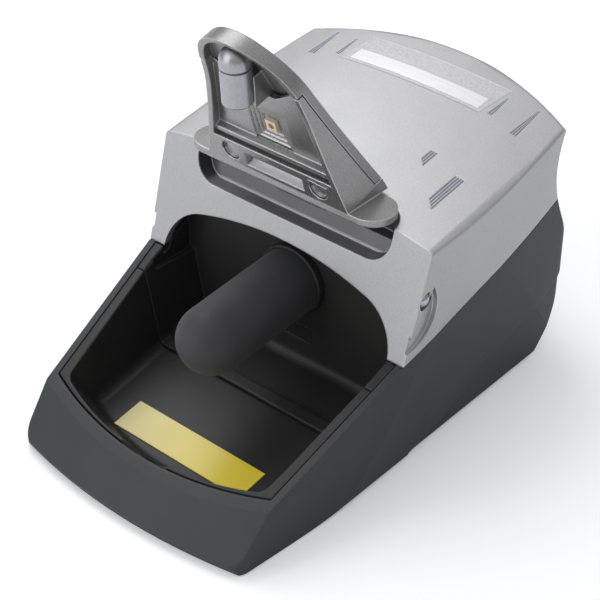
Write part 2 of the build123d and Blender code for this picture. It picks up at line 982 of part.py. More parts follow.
# Top housing
with BuildPart() as top_housing:
    add(rounded_block)
    add(above_parting(0), mode=Mode.INTERSECT)
    add(inner_block, mode=Mode.SUBTRACT)
    add(trough.part)
    add(pillars.part)
    with BuildSketch(Plane.XY.offset(board_z)):
        with Locations(*pillar_places):
            Circle(board_screw_radius)
    extrude(amount=board_screw_length, mode=Mode.SUBTRACT)
    with BuildSketch(Plane.XY.offset(case_screw_head_z)):
        with Locations(*case_post_places):
            Circle(case_screw_radius)
    extrude(amount=case_screw_length, mode=Mode.SUBTRACT)
    with BuildSketch(Plane.XZ):
        with BuildLine():
            Polyline(
                (-arch_half, plate_foot_z),
                (-arch_half, plate_foot_z - overrun),
                (arch_half, plate_foot_z - overrun),
                (arch_half, plate_foot_z),
            )
            ThreePointArc(
                (arch_half, plate_foot_z), (arch_bend_x, arch_bend_z), (arch_shoulder_x, arch_shoulder_z)
            )
            ThreePointArc(
                (arch_shoulder_x, arch_shoulder_z), (0, arch_top_z), (-arch_shoulder_x, arch_shoulder_z)
            )
            ThreePointArc(
                (-arch_shoulder_x, arch_shoulder_z), (-arch_bend_x, arch_bend_z), (-arch_half, plate_foot_z)
            )
        make_face()
    extrude(amount=-plate_foot_y + top_wall, mode=Mode.SUBTRACT)
    add(notch_block(0), mode=Mode.SUBTRACT)
    add(ledge.part)
    for side in (-1, 1):
        add(recess_block(side, recess_depth), mode=Mode.SUBTRACT)
        with BuildSketch(Plane.YZ.offset(side * ball_wall_x)):
            with Locations((ball_y, ball_z)):
                Circle(sleeve_radius)
        extrude(amount=-side * (sleeve_length + recess_depth), mode=Mode.SUBTRACT)
    for marker in markers.values():
        for solid in marker.solids():
            add(solid, mode=Mode.SUBTRACT)
    add(name_room, mode=Mode.SUBTRACT)
top_housing.part.label = "top_housing"
export_step(top_housing.part, "parts/top_housing.step")


# Ring post
post_root = (0, back_wall_y, post_root_z)
post_plane = Plane(origin=post_root, x_dir=(1, 0, 0), z_dir=(0, -droop_cosine, -droop_sine))
wall_plane = Plane(origin=post_root, x_dir=(1, 0, 0), z_dir=(0, -1, 0))
behind_wall = side_region(
    ((back_wall_y, -overrun), (far_out, -overrun), (far_out, high_above), (back_wall_y, high_above))
)
with BuildPart() as ring_post:
    with BuildSketch(post_plane.offset(-overrun)):
        Circle(post_radius)
    extrude(amount=post_length + overrun)
    with Locations(post_plane * Pos(0, 0, post_length)):
        Sphere(post_radius)
    with BuildSketch(post_plane.offset(-overrun)):
        Circle(core_radius)
    extrude(amount=core_length + overrun, mode=Mode.SUBTRACT)
    add(behind_wall, mode=Mode.SUBTRACT)
    with BuildSketch(wall_plane):
        Circle(collar_radius + overrun)
        Circle(collar_bore_radius, mode=Mode.SUBTRACT)
    extrude(amount=collar_thickness, mode=Mode.SUBTRACT)
ring_post.part.label = "ring_post"
export_step(ring_post.part, "parts/ring_post.step")

# Post core
with BuildPart() as post_core:
    with BuildSketch(post_plane.offset(-overrun)):
        Circle(core_radius)
    extrude(amount=core_length + overrun)
    add(behind_wall, mode=Mode.SUBTRACT)
    with BuildSketch(wall_plane):
        Circle(post_screw_radius)
    extrude(amount=post_screw_length, mode=Mode.SUBTRACT)
post_core.part.label = "post_core"
export_step(post_core.part, "parts/post_core.step")

# Post collar
with BuildPart() as post_collar:
    with BuildSketch(wall_plane):
        Circle(collar_radius)
        Circle(collar_bore_radius, mode=Mode.SUBTRACT)
    extrude(amount=collar_thickness)
    fillet(post_collar.faces().sort_by(Axis.Y)[0].outer_wire().edges(), radius=collar_edge)
post_collar.part.label = "post_collar"
export_step(post_collar.part, "parts/post_collar.step")

# Post screw
with BuildPart() as post_screw:
    with BuildSketch(wall_plane.offset(-liner_wall)):
        Circle(post_screw_radius)
    extrude(amount=liner_wall + post_screw_length)
    with BuildSketch(wall_plane.offset(-liner_wall)):
        Circle(2 * post_screw_radius)
    extrude(amount=-screw_head_height)
    with BuildSketch(wall_plane.offset(-liner_wall - screw_head_height)):
        Rectangle(4 * post_screw_radius, slot_cut_width)
    extrude(amount=slot_cut_depth, mode=Mode.SUBTRACT)
post_screw.part.label = "post_screw"
export_step(post_screw.part, "parts/post_screw.step")


# Hood
def hood_place(height, depth):
    """Y and Z of a spot in the hood's middle, from its height up the lean and its depth behind the rim."""
    return (
        hood_front_y - height * hood_sine + depth * hood_cosine,
        slab_top_z + height * hood_cosine + depth * hood_sine,
    )


def hood_back_depth(height):
    """Depth of the back of the hood at a height up the lean."""
    return hood_base_depth + (hood_tip_back - hood_base_depth) * height / hood_height


def seam_depth(height):
    """Depth of the seam between frame and cover at a height up the lean."""
    return hood_back_depth(height) - hood_base_depth + seam_base_depth


def hood_outline(inset):
    """Closed front outline of the hood, drawn in by inset, on the hood plane."""
    with BuildSketch() as outline:
        with BuildLine():
            Line((0, -hood_skirt), (hood_half, -hood_skirt))
            Line((hood_half, -hood_skirt), (hood_half, 0))
            ThreePointArc(
                (hood_half, 0), (hood_waist_half, hood_waist_h), (hood_cheek_half, hood_cheek_h)
            )
            ThreePointArc(
                (hood_cheek_half, hood_cheek_h), (hood_brow_half, hood_brow_h), (hood_crown_half, hood_crown_h)
            )
            ThreePointArc(
                (hood_crown_half, hood_crown_h), (0, hood_height), (-hood_crown_half, hood_crown_h)
            )
            ThreePointArc(
                (-hood_crown_half, hood_crown_h), (-hood_brow_half, hood_brow_h), (-hood_cheek_half, hood_cheek_h)
            )
            ThreePointArc(
                (-hood_cheek_half, hood_cheek_h), (-hood_waist_half, hood_waist_h), (-hood_half, 0)
            )
            Line((-hood_half, 0), (-hood_half, -hood_skirt))
            Line((-hood_half, -hood_skirt), (0, -hood_skirt))
        make_face()
        if inset:
            offset(amount=-inset)
    return outline.sketch


def hood_side(front_depth, back_wall, low_h, high_h):
    """Side outline of the hood between the curved rim and the back, as a wide block."""
    bend = max(high_h - hood_bend_h, 0) / (hood_height - hood_bend_h)
    rim_end = hood_place(high_h, front_depth - hood_tip_front * bend**2)
    with BuildPart() as region:
        with BuildSketch(Plane.YZ):
            with BuildLine():
                if bend > 0:
                    middle_h = (hood_bend_h + high_h) / 2
                    Line(hood_place(low_h, front_depth), hood_place(hood_bend_h, front_depth))
                    ThreePointArc(
                        hood_place(hood_bend_h, front_depth),
                        hood_place(middle_h, front_depth - hood_tip_front * bend**2 / 4),
                        rim_end,
                    )
                else:
                    Line(hood_place(low_h, front_depth), rim_end)
                Polyline(
                    rim_end,
                    hood_place(high_h, hood_back_depth(high_h) - back_wall),
                    hood_place(low_h, hood_back_depth(low_h) - back_wall),
                    hood_place(low_h, front_depth),
                )
            make_face()
        extrude(amount=far_out, both=True)
    return region.part


def hood_block(inset, front_depth, back_wall, low_h, high_h):
    """Solid between the hood outline and its side outline."""
    with BuildPart() as block:
        with BuildSketch(hood_plane):
            add(hood_outline(inset))
        extrude(amount=far_out, both=True)
        add(hood_side(front_depth, back_wall, low_h, high_h), mode=Mode.INTERSECT)
    return block.part


def hood_region(points):
    """Wide block whose side outline is given as heights and depths of the hood."""
    return side_region([hood_place(height, depth) for height, depth in points])


def hinge_rod(radius, low_x, high_x):
    """Round bar on the hinge axis between two places of X."""
    with BuildPart() as rod:
        with BuildSketch(Plane.YZ.offset(low_x)):
            with Locations((hinge_y, hinge_z)):
                Circle(radius)
        extrude(amount=high_x - low_x)
    return rod.part


top_h = hood_height + overrun
light_place = hood_place(light_h, panel_depth)
panel_sine, panel_cosine = slanted(panel_lean)
panel_plane = Plane(
    origin=(0, light_place[0], light_place[1]), x_dir=(1, 0, 0), z_dir=(0, -panel_cosine, -panel_sine)
)
lamp_place = hood_place(lamp_low_h, lamp_low_depth)
lamp_sine, lamp_cosine = slanted(hood_lean - lamp_lean_back)
lamp_plane = Plane(
    origin=(0, lamp_place[0], lamp_place[1]), x_dir=(1, 0, 0), z_dir=(0, -lamp_sine, lamp_cosine)
)
slab_bottom_z = slab_top_z - slab_thickness
screw_places = ((-screw_x, screw_h), (screw_x, screw_h))
over_slab = side_region(
    ((-far_out, slab_top_z), (far_out, slab_top_z), (far_out, 2 * high_above), (-far_out, 2 * high_above))
)
frame_room = hood_region(
    (
        (-2 * hood_skirt, -far_out),
        (cover_step_h, -far_out),
        (cover_step_h, seam_depth(cover_step_h)),
        (cover_low_h, seam_depth(cover_low_h)),
        (cover_low_h - seam_gap, seam_depth(cover_low_h)),
        (cover_low_h - seam_gap, 2 * hood_base_depth),
        (-2 * hood_skirt, 2 * hood_base_depth),
    )
)
cover_room = hood_region(
    (
        (cover_step_h + seam_gap, -far_out),
        (cover_step_h + seam_gap, seam_depth(cover_step_h) + seam_gap),
        (cover_low_h, seam_depth(cover_low_h) + seam_gap),
        (cover_low_h, 2 * hood_base_depth),
        (top_h, 2 * hood_base_depth),
        (top_h, -far_out),
    )
)
with BuildPart() as foot_room:
    add(hood_block(hood_wall, foot_wall_depth, hood_wall, -hood_skirt, foot_wall_h))
    add(over_slab, mode=Mode.INTERSECT)
with BuildPart() as panel_walls:
    add(hood_block(hood_wall / 2, 0, 0, foot_wall_h, cover_step_h))
    add(frame_room, mode=Mode.INTERSECT)
with BuildPart() as panel:
    with BuildSketch(panel_plane):
        Rectangle(2 * hood_half, 2 * hood_height)
    extrude(amount=-panel_thickness)
    with BuildSketch(panel_plane):
        with Locations((0, rib_h - light_h)):
            Rectangle(2 * hood_half, rib_height)
    extrude(amount=rib_reach, taper=rib_taper)
    add(
        hood_block(cover_wall + fit_gap, 0, cover_wall + fit_gap, foot_wall_h, cover_step_h),
        mode=Mode.INTERSECT,
    )
with BuildPart() as panel_ends:
    with BuildSketch(panel_plane):
        Rectangle(2 * hood_half, 2 * hood_height)
    extrude(amount=-panel_thickness)
    with BuildSketch(panel_plane):
        with Locations((0, rib_h - light_h)):
            Rectangle(2 * hood_half, rib_height)
    extrude(amount=rib_reach, taper=rib_taper)
    add(panel_walls.part, mode=Mode.INTERSECT)
with BuildPart() as pocket_cut:
    with BuildSketch(hood_plane):
        with BuildLine():
            Polyline(
                (-hood_half, pocket_cheek_h),
                (-hood_half, top_h),
                (hood_half, top_h),
                (hood_half, pocket_cheek_h),
                (hood_cheek_half - hood_wall, pocket_cheek_h),
                (pocket_foot_half, pocket_foot_h),
                (-pocket_foot_half, pocket_foot_h),
                (-hood_cheek_half + hood_wall, pocket_cheek_h),
                close=True,
            )
        make_face()
    extrude(amount=far_out, both=True)
knuckle_start = hinge_block_half + fit_gap
knuckle_places = [side * (knuckle_start + knuckle_length / 2) for side in (-1, 1)]

# Hood frame
with BuildPart() as hood_frame:
    add(hood_block(0, 0, 0, -hood_skirt, top_h))
    add(frame_room, mode=Mode.INTERSECT)
    add(over_slab, mode=Mode.INTERSECT)
    add(hood_block(hood_wall, -overrun, -overrun, foot_wall_h, top_h), mode=Mode.SUBTRACT)
    add(foot_room.part, mode=Mode.SUBTRACT)
    add(panel.part)
    add(panel_ends.part)
    add(pocket_cut.part, mode=Mode.SUBTRACT)
    with BuildSketch(Plane.XY.offset(slab_bottom_z)):
        with Locations((0, hood_front_y + slab_depth / 2)):
            SlotOverall(2 * slab_half, slab_depth)
    extrude(amount=slab_thickness)
    for knuckle_x in knuckle_places:
        add(hinge_rod(hinge_barrel_radius, knuckle_x - knuckle_length / 2, knuckle_x + knuckle_length / 2))
        with Locations((knuckle_x, hinge_y, slab_bottom_z)):
            Box(
                knuckle_length,
                2 * hinge_barrel_radius,
                slab_bottom_z - hinge_z,
                align=(Align.CENTER, Align.CENTER, Align.MAX),
            )
    add(hinge_rod(hinge_pin_radius + running_gap, -slab_half, slab_half), mode=Mode.SUBTRACT)
    with BuildSketch(hood_plane.offset(-foot_wall_depth / 2)):
        with Locations(*screw_places):
            Circle(screw_ring_radius)
    extrude(amount=-screw_boss_length)
    with BuildSketch(hood_plane):
        with Locations(*screw_places):
            Circle(screw_head_radius + seam_gap)
    extrude(amount=-screw_sink, mode=Mode.SUBTRACT)
    with BuildSketch(hood_plane):
        with Locations(*screw_places):
            Circle(screw_shank_radius)
    extrude(amount=-screw_sink - screw_shank_length, mode=Mode.SUBTRACT)
    with BuildSketch(hood_plane.offset(overrun)):
        with Locations((0, slot_low + slot_height / 2)):
            Rectangle(2 * slot_half, slot_height)
    extrude(amount=-2 * overrun - foot_wall_depth, mode=Mode.SUBTRACT)
    for step in range(step_count):
        side = light_side + (step_count - step) * step_side
        with BuildSketch(panel_plane.offset(-step * step_drop)):
            Rectangle(side, side)
        extrude(amount=-step_drop, mode=Mode.SUBTRACT)
hood_frame.part.label = "hood_frame"
export_step(hood_frame.part, "parts/hood_frame.step")

# Lamp barrel
with BuildPart() as lamp_barrel:
    with BuildSketch(lamp_plane):
        Circle(lamp_radius)
    extrude(amount=lamp_length)
    chamfer(lamp_barrel.faces().sort_by(Axis.Z)[0].edges(), length=lamp_groove)
lamp_barrel.part.label = "lamp_barrel"
export_step(lamp_barrel.part, "parts/lamp_barrel.step")

# Lamp dome
with BuildPart() as lamp_dome:
    with Locations(lamp_plane * Pos(0, 0, lamp_length + lamp_groove + lamp_neck)):
        Sphere(lamp_radius, arc_size1=0, align=(Align.CENTER, Align.CENTER, Align.MIN))
    with BuildSketch(lamp_plane.offset(lamp_length)):
        Circle(lamp_radius - lamp_groove)
    extrude(amount=lamp_groove)
    with BuildSketch(lamp_plane.offset(lamp_length + lamp_groove)):
        Circle(lamp_radius)
    extrude(amount=lamp_neck)
lamp_dome.part.label = "lamp_dome"
export_step(lamp_dome.part, "parts/lamp_dome.step")

# Hood cover
with BuildPart() as cover_space:
    add(hood_block(cover_wall, -overrun, cover_wall, cover_low_h - overrun, top_h))
cradle_low_h = pocket_foot_h + seam_gap
cradle_high_h = cover_step_h + cradle_rise
with BuildPart() as cradle:
    with BuildSketch(hood_plane):
        with Locations((0, cradle_low_h)):
            Rectangle(2 * cradle_half, cradle_high_h - cradle_low_h, align=(Align.CENTER, Align.MIN))
    extrude(amount=far_out, both=True)
    add(
        hood_region(
            (
                (cradle_low_h, cradle_front_depth),
                (cradle_low_h, hood_back_depth(cradle_low_h) - cover_wall / 2),
                (cradle_high_h, hood_back_depth(cradle_high_h) - cover_wall / 2),
                (cradle_high_h, cradle_front_depth),
            )
        ),
        mode=Mode.INTERSECT,
    )
with BuildPart() as cover_bosses:
    with BuildSketch(hood_plane.offset(-foot_wall_depth / 2 - screw_boss_length)):
        with Locations(*screw_places):
            Circle(screw_ring_radius)
    extrude(amount=-hood_base_depth)
    add(hood_block(cover_wall / 2, 0, cover_wall / 2, cover_low_h, top_h), mode=Mode.INTERSECT)
with BuildPart() as hood_cover:
    add(hood_block(0, 0, 0, cover_low_h, top_h))
    add(cover_space.part, mode=Mode.SUBTRACT)
    add(cover_room, mode=Mode.INTERSECT)
    add(cradle.part)
    add(cover_bosses.part)
    with BuildSketch(hood_plane):
        with Locations(*screw_places):
            Circle(screw_shank_radius)
    extrude(amount=-screw_sink - screw_shank_length, mode=Mode.SUBTRACT)
    with BuildSketch(lamp_plane.offset(-overrun)):
        Circle(lamp_radius)
    extrude(amount=lamp_length + overrun + lamp_groove + lamp_neck, mode=Mode.SUBTRACT)
    with Locations(lamp_plane * Pos(0, 0, lamp_length + lamp_groove + lamp_neck)):
        Sphere(lamp_radius, mode=Mode.SUBTRACT)
hood_cover.part.label = "hood_cover"
export_step(hood_cover.part, "parts/hood_cover.step")

# Light base
light_plane = panel_plane.offset(-step_count * step_drop)
emitter_plane = light_plane.offset(light_base_height - emitter_height)
with BuildPart() as light_base:
    with BuildSketch(light_plane):
        Rectangle(light_side, light_side)
    extrude(amount=light_base_height)
    with BuildSketch(emitter_plane):
        Circle(emitter_radius)
    extrude(amount=emitter_height, mode=Mode.SUBTRACT)
light_base.part.label = "light_base"
export_step(light_base.part, "parts/light_base.step")

# Light emitter
with BuildPart() as light_emitter:
    with BuildSketch(emitter_plane):
        Circle(emitter_radius)
    extrude(amount=emitter_height)
light_emitter.part.label = "light_emitter"
export_step(light_emitter.part, "parts/light_emitter.step")

# Light board
with BuildPart() as light_board:
    with BuildSketch(panel_plane.offset(-panel_thickness)):
        with Locations((0, light_board_drop)):
            Rectangle(light_board_width, light_board_height)
    extrude(amount=-light_board_thickness)
light_board.part.label = "light_board"
export_step(light_board.part, "parts/light_board.step")

# Hood pins
screw_plane = hood_plane.offset(-screw_sink)
with BuildPart() as hood_pins:
    with BuildSketch(screw_plane):
        with Locations(*screw_places):
            Circle(screw_shank_radius)
    extrude(amount=-screw_shank_length)
    with BuildSketch(screw_plane):
        with Locations(*screw_places):
            Circle(screw_head_radius)
    extrude(amount=hood_screw_head)
    with BuildSketch(screw_plane.offset(hood_screw_head)):
        with Locations(*screw_places):
            Circle(screw_head_radius - seam_gap)
    extrude(amount=-slot_cut_depth, mode=Mode.SUBTRACT)
hood_pins.part.label = "hood_pins"
export_step(hood_pins.part, "parts/hood_pins.step")

# Hinge block
with BuildPart() as hinge_block:
    add(hinge_rod(hinge_barrel_radius, -hinge_block_half, hinge_block_half))
    with Locations((0, hinge_y, hinge_z)):
        Box(
            2 * hinge_block_half,
            2 * hinge_barrel_radius,
            hinge_z - notch_ledge_z,
            align=(Align.CENTER, Align.CENTER, Align.MAX),
        )
    add(hinge_rod(hinge_pin_radius, -slab_half, slab_half), mode=Mode.SUBTRACT)
hinge_block.part.label = "hinge_block"
export_step(hinge_block.part, "parts/hinge_block.step")

# Hinge pin
pin_half = knuckle_start + knuckle_length + fit_gap
with BuildPart() as hinge_pin:
    add(hinge_rod(hinge_pin_radius, -pin_half, pin_half))
hinge_pin.part.label = "hinge_pin"
export_step(hinge_pin.part, "parts/hinge_pin.step")

# Side balls and their sleeves
ball_x = ball_wall_x - recess_depth + ball_show - ball_radius
with BuildPart() as side_ball_right:
    with Locations((ball_x, ball_y, ball_z)):
        Sphere(ball_radius)
side_ball_right.part.label = "side_ball_right"
export_step(side_ball_right.part, "parts/side_ball_right.step")
with BuildPart() as side_ball_left:
    mirror(side_ball_right.part, about=Plane.YZ)
side_ball_left.part.label = "side_ball_left"
export_step(side_ball_left.part, "parts/side_ball_left.step")
sleeve_side = Plane(origin=(0, ball_y, ball_z), x_dir=(1, 0, 0), z_dir=(0, -1, 0))
bore_radius = ball_radius + running_gap
mouth_x = ball_wall_x - recess_depth
with BuildPart() as ball_sleeve_right:
    with BuildSketch(sleeve_side):
        with BuildLine():
            mouth_radius = math.sqrt(bore_radius**2 - (mouth_x - ball_x) ** 2)
            bore_end_x = ball_x - ball_radius - ball_travel - fit_gap
            Polyline(
                (ball_x, bore_radius),
                (bore_end_x, bore_radius),
                (bore_end_x, 0),
                (mouth_x - sleeve_length, 0),
                (mouth_x - sleeve_length, sleeve_radius),
                (mouth_x, sleeve_radius),
                (mouth_x, mouth_radius),
            )
            RadiusArc((mouth_x, mouth_radius), (ball_x, bore_radius), -bore_radius)
        make_face()
    revolve(axis=Axis((0, ball_y, ball_z), (1, 0, 0)))
ball_sleeve_right.part.label = "ball_sleeve_right"
export_step(ball_sleeve_right.part, "parts/ball_sleeve_right.step")
with BuildPart() as ball_sleeve_left:
    mirror(ball_sleeve_right.part, about=Plane.YZ)
ball_sleeve_left.part.label = "ball_sleeve_left"
export_step(ball_sleeve_left.part, "parts/ball_sleeve_left.step")

# Sensor board and window
sensor_face_y = back_wall_y + liner_wall
with BuildPart() as sensor_window:
    with Locations((0, back_wall_y, sensor_window_z)):
        Box(
            2 * sensor_window_half,
            liner_wall,
            sensor_window_height,
            align=(Align.CENTER, Align.MIN, Align.CENTER),
        )
sensor_window.part.label = "sensor_window"
export_step(sensor_window.part, "parts/sensor_window.step")
with BuildPart() as sensor_board:
    with Locations((0, sensor_face_y, sensor_board_low_z)):
        Box(
            2 * sensor_board_half,
            sensor_board_thickness,
            sensor_board_height,
            align=(Align.CENTER, Align.MIN, Align.MIN),
        )
sensor_board.part.label = "sensor_board"
export_step(sensor_board.part, "parts/sensor_board.step")

# Main board
board_top_z = board_z + board_thickness
with BuildPart() as main_board:
    with BuildSketch(Plane.XY.offset(board_z)):
        with Locations((0, board_front_y + board_depth / 2)):
            RectangleRounded(2 * board_half, board_depth, board_corner_radius)
        with Locations(*pillar_places):
            Circle(board_screw_radius, mode=Mode.SUBTRACT)
    extrude(amount=board_thickness)
main_board.part.label = "main_board"
export_step(main_board.part, "parts/main_board.step")

# Board screws
with BuildPart() as board_screws:
    with BuildSketch(Plane.XY.offset(board_z)):
        with Locations(*pillar_places):
            Circle(board_screw_radius)
    extrude(amount=board_screw_length)
    with BuildSketch(Plane.XY.offset(board_z)):
        with Locations(*pillar_places):
            Circle(2 * board_screw_radius)
    extrude(amount=-screw_head_height)
board_screws.part.label = "board_screws"
export_step(board_screws.part, "parts/board_screws.step")

# Board chips
with BuildPart() as board_chips:
    with Locations(*[(place * chip_pitch, chip_y, board_top_z) for place in (-1, 0, 1)]):
        Box(chip_side, chip_side, chip_height, align=(Align.CENTER, Align.CENTER, Align.MIN))
board_chips.part.label = "board_chips"
export_step(board_chips.part, "parts/board_chips.step")

# Buzzer
with BuildPart() as buzzer:
    with BuildSketch(Plane.XY.offset(board_top_z)):
        with Locations((buzzer_x, buzzer_y)):
            Circle(buzzer_radius)
    extrude(amount=buzzer_height)
    with BuildSketch(Plane.XY.offset(board_top_z + buzzer_height)):
        with Locations((buzzer_x, buzzer_y)):
            Circle(buzzer_hole_radius)
    extrude(amount=-buzzer_hole_radius, mode=Mode.SUBTRACT)
buzzer.part.label = "buzzer"
export_step(buzzer.part, "parts/buzzer.step")

# Battery
battery_end_x = battery_x + battery_length / 2
battery_middle_z = battery_low_z + battery_height / 2
terminal_plane = Plane.YZ.offset(battery_end_x)
terminal_places = [(battery_y + side * terminal_half_spacing, battery_middle_z) for side in (-1, 1)]
with BuildPart() as battery:
    with BuildSketch(Plane.YZ.offset(battery_x - battery_length / 2)):
        with Locations((battery_y, battery_middle_z)):
            RectangleRounded(battery_width, battery_height, battery_corner_radius)
    extrude(amount=battery_length)
battery.part.label = "battery"
export_step(battery.part, "parts/battery.step")
with BuildPart() as battery_terminals:
    with BuildSketch(terminal_plane):
        with Locations(*terminal_places):
            Circle(terminal_radius)
    extrude(amount=terminal_height)
battery_terminals.part.label = "battery_terminals"
export_step(battery_terminals.part, "parts/battery_terminals.step")
with BuildPart() as battery_contacts:
    with BuildSketch(Plane.YZ.offset(battery_end_x + terminal_height)):
        with Locations((battery_y, battery_middle_z)):
            Rectangle(contact_width, contact_height)
    extrude(amount=contact_thickness)
battery_contacts.part.label = "battery_contacts"
export_step(battery_contacts.part, "parts/battery_contacts.step")

# Battery holder
holder_room_low_x = battery_x - battery_length / 2 - fit_gap
holder_room_high_x = battery_end_x + terminal_height + contact_thickness
holder_room_x = (holder_room_low_x + holder_room_high_x) / 2
holder_room_length = holder_room_high_x - holder_room_low_x
holder_room_width = battery_width + 2 * fit_gap
holder_room_top_z = battery_low_z + battery_height + fit_gap
with BuildPart() as battery_holder:
    with Locations((holder_room_x, battery_y, foot_floor_z)):
        Box(
            holder_room_length + 2 * holder_wall,
            holder_room_width + 2 * holder_wall,
            holder_room_top_z + holder_wall - foot_floor_z,
            align=(Align.CENTER, Align.CENTER, Align.MIN),
        )
        Box(
            holder_room_length,
            holder_room_width,
            holder_room_top_z - foot_floor_z,
            align=(Align.CENTER, Align.CENTER, Align.MIN),
            mode=Mode.SUBTRACT,
        )
battery_holder.part.label = "battery_holder"
export_step(battery_holder.part, "parts/battery_holder.step")

# Battery door
with BuildPart() as battery_door:
    with BuildSketch(Plane.XY.offset(foot_bottom_z)):
        with Locations((battery_x, battery_y)):
            RectangleRounded(
                2 * (door_half_x - fit_gap), 2 * (door_half_y - fit_gap), door_corner_radius - fit_gap
            )
    extrude(amount=shell_wall)
    with BuildSketch(Plane.XY.offset(foot_floor_z)):
        with Locations((battery_x, battery_y)):
            Rectangle(2 * (door_half_x - door_lip_inset), 2 * (door_half_y - door_lip_inset))
            Rectangle(
                2 * (door_half_x - door_lip_inset - door_lip_wall),
                2 * (door_half_y - door_lip_inset - door_lip_wall),
                mode=Mode.SUBTRACT,
            )
    extrude(amount=door_lip_height)
    with BuildSketch(Plane.XY.offset(foot_bottom_z)):
        with Locations(
            *[
                (battery_x + place * door_grip_pitch, battery_y - door_half_y / 2)
                for place in (-2, -1, 0, 1, 2)
            ]
        ):
            Rectangle(slot_cut_width, door_grip_length)
    extrude(amount=slot_cut_depth, mode=Mode.SUBTRACT)
battery_door.part.label = "battery_door"
export_step(battery_door.part, "parts/battery_door.step")

# Power inlet
inlet_plane = rear_plane.offset(inlet_show)
with BuildPart() as power_inlet:
    with BuildSketch(inlet_plane):
        with Locations(inlet_place):
            Circle(inlet_radius)
    extrude(amount=-inlet_length)
    with BuildSketch(inlet_plane):
        with Locations(inlet_place):
            Circle(inlet_bore)
    extrude(amount=inlet_wall - inlet_length, mode=Mode.SUBTRACT)
power_inlet.part.label = "power_inlet"
export_step(power_inlet.part, "parts/power_inlet.step")
with BuildPart() as inlet_pin:
    with BuildSketch(inlet_plane.offset(inlet_wall - inlet_length)):
        with Locations(inlet_place):
            Circle(inlet_pin_radius)
    extrude(amount=inlet_length - 2 * inlet_wall)
inlet_pin.part.label = "inlet_pin"
export_step(inlet_pin.part, "parts/inlet_pin.step")

# Rocker switch
switch_plane = rear_plane.offset(switch_show)
pivot = rear_plane.offset(switch_show - rocker_depth) * Pos(switch_place[0], switch_place[1], 0)
pivot_plane = Plane(pivot)
rocker_plane = pivot_plane.rotated((rocker_tilt, 0, 0))
rocker_side = Plane(origin=rocker_plane.origin, x_dir=rocker_plane.y_dir, z_dir=rocker_plane.x_dir)
with BuildPart() as rocker_round:
    with BuildSketch(rocker_side):
        Circle(rocker_radius)
    extrude(amount=rocker_half_width, both=True)
with BuildPart() as switch_rocker:
    add(rocker_round.part)
    with BuildSketch(rocker_plane.offset(rocker_face)):
        Rectangle(4 * rocker_radius, 4 * rocker_radius)
    extrude(amount=rocker_radius, mode=Mode.SUBTRACT)
    with BuildSketch(rocker_plane.offset(-rocker_back)):
        Rectangle(4 * rocker_radius, 4 * rocker_radius)
    extrude(amount=-rocker_radius, mode=Mode.SUBTRACT)
    with BuildSketch(rocker_side):
        Circle(trunnion_radius)
    extrude(amount=rocker_half_width + trunnion_length, both=True)
switch_rocker.part.label = "switch_rocker"
export_step(switch_rocker.part, "parts/switch_rocker.step")
with BuildPart() as switch_frame:
    with BuildSketch(switch_plane):
        with Locations(switch_place):
            Rectangle(2 * switch_half_width, 2 * switch_half_height)
    extrude(amount=-switch_length)
    with BuildSketch(switch_plane):
        with Locations(switch_place):
            Rectangle(2 * (switch_half_width - switch_wall), 2 * (switch_half_height - switch_wall))
    extrude(amount=switch_wall - switch_length, mode=Mode.SUBTRACT)
    with BuildSketch(rocker_side):
        Circle(trunnion_radius + running_gap)
    extrude(amount=switch_half_width - switch_wall / 4, both=True, mode=Mode.SUBTRACT)
switch_frame.part.label = "switch_frame"
export_step(switch_frame.part, "parts/switch_frame.step")

# Case screws
with BuildPart() as case_screws:
    with BuildSketch(Plane.XY.offset(case_screw_head_z)):
        with Locations(*case_post_places):
            Circle(case_screw_radius)
    extrude(amount=case_screw_length)
    with BuildSketch(Plane.XY.offset(case_screw_head_z)):
        with Locations(*case_post_places):
            Circle(case_screw_head)
    extrude(amount=-screw_head_height)
case_screws.part.label = "case_screws"
export_step(case_screws.part, "parts/case_screws.step")

# Rubber feet
with BuildPart() as rubber_feet:
    with BuildSketch(Plane.XY):
        with Locations(*front_pads, *rear_pads):
            Circle(pad_radius)
    extrude(amount=body_low_z + pad_sink)
    fillet(rubber_feet.faces().group_by(Axis.Z)[0].edges(), radius=body_low_z)
rubber_feet.part.label = "rubber_feet"
export_step(rubber_feet.part, "parts/rubber_feet.step")
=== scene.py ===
"""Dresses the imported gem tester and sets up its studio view."""

import json
import logging
import math
from dataclasses import dataclass, field
from enum import Enum
from typing import Any

import bmesh
import bpy
from mathutils import Matrix, Vector

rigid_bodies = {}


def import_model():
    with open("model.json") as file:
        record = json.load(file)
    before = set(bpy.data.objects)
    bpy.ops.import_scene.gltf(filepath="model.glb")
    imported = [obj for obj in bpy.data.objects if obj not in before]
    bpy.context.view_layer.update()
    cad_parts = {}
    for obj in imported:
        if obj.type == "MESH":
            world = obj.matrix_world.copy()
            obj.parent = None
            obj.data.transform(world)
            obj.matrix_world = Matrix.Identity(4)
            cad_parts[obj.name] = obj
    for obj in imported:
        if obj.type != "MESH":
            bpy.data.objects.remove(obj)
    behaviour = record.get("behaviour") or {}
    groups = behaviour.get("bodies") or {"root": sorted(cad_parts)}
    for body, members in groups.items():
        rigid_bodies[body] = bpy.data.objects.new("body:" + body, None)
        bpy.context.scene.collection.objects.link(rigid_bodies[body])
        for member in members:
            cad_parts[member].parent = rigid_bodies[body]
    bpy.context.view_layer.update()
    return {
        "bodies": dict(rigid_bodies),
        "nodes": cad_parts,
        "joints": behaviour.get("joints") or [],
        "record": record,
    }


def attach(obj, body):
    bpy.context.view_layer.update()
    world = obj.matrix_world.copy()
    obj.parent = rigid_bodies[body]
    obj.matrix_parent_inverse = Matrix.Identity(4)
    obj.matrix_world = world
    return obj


log = logging.getLogger("gem_tester")

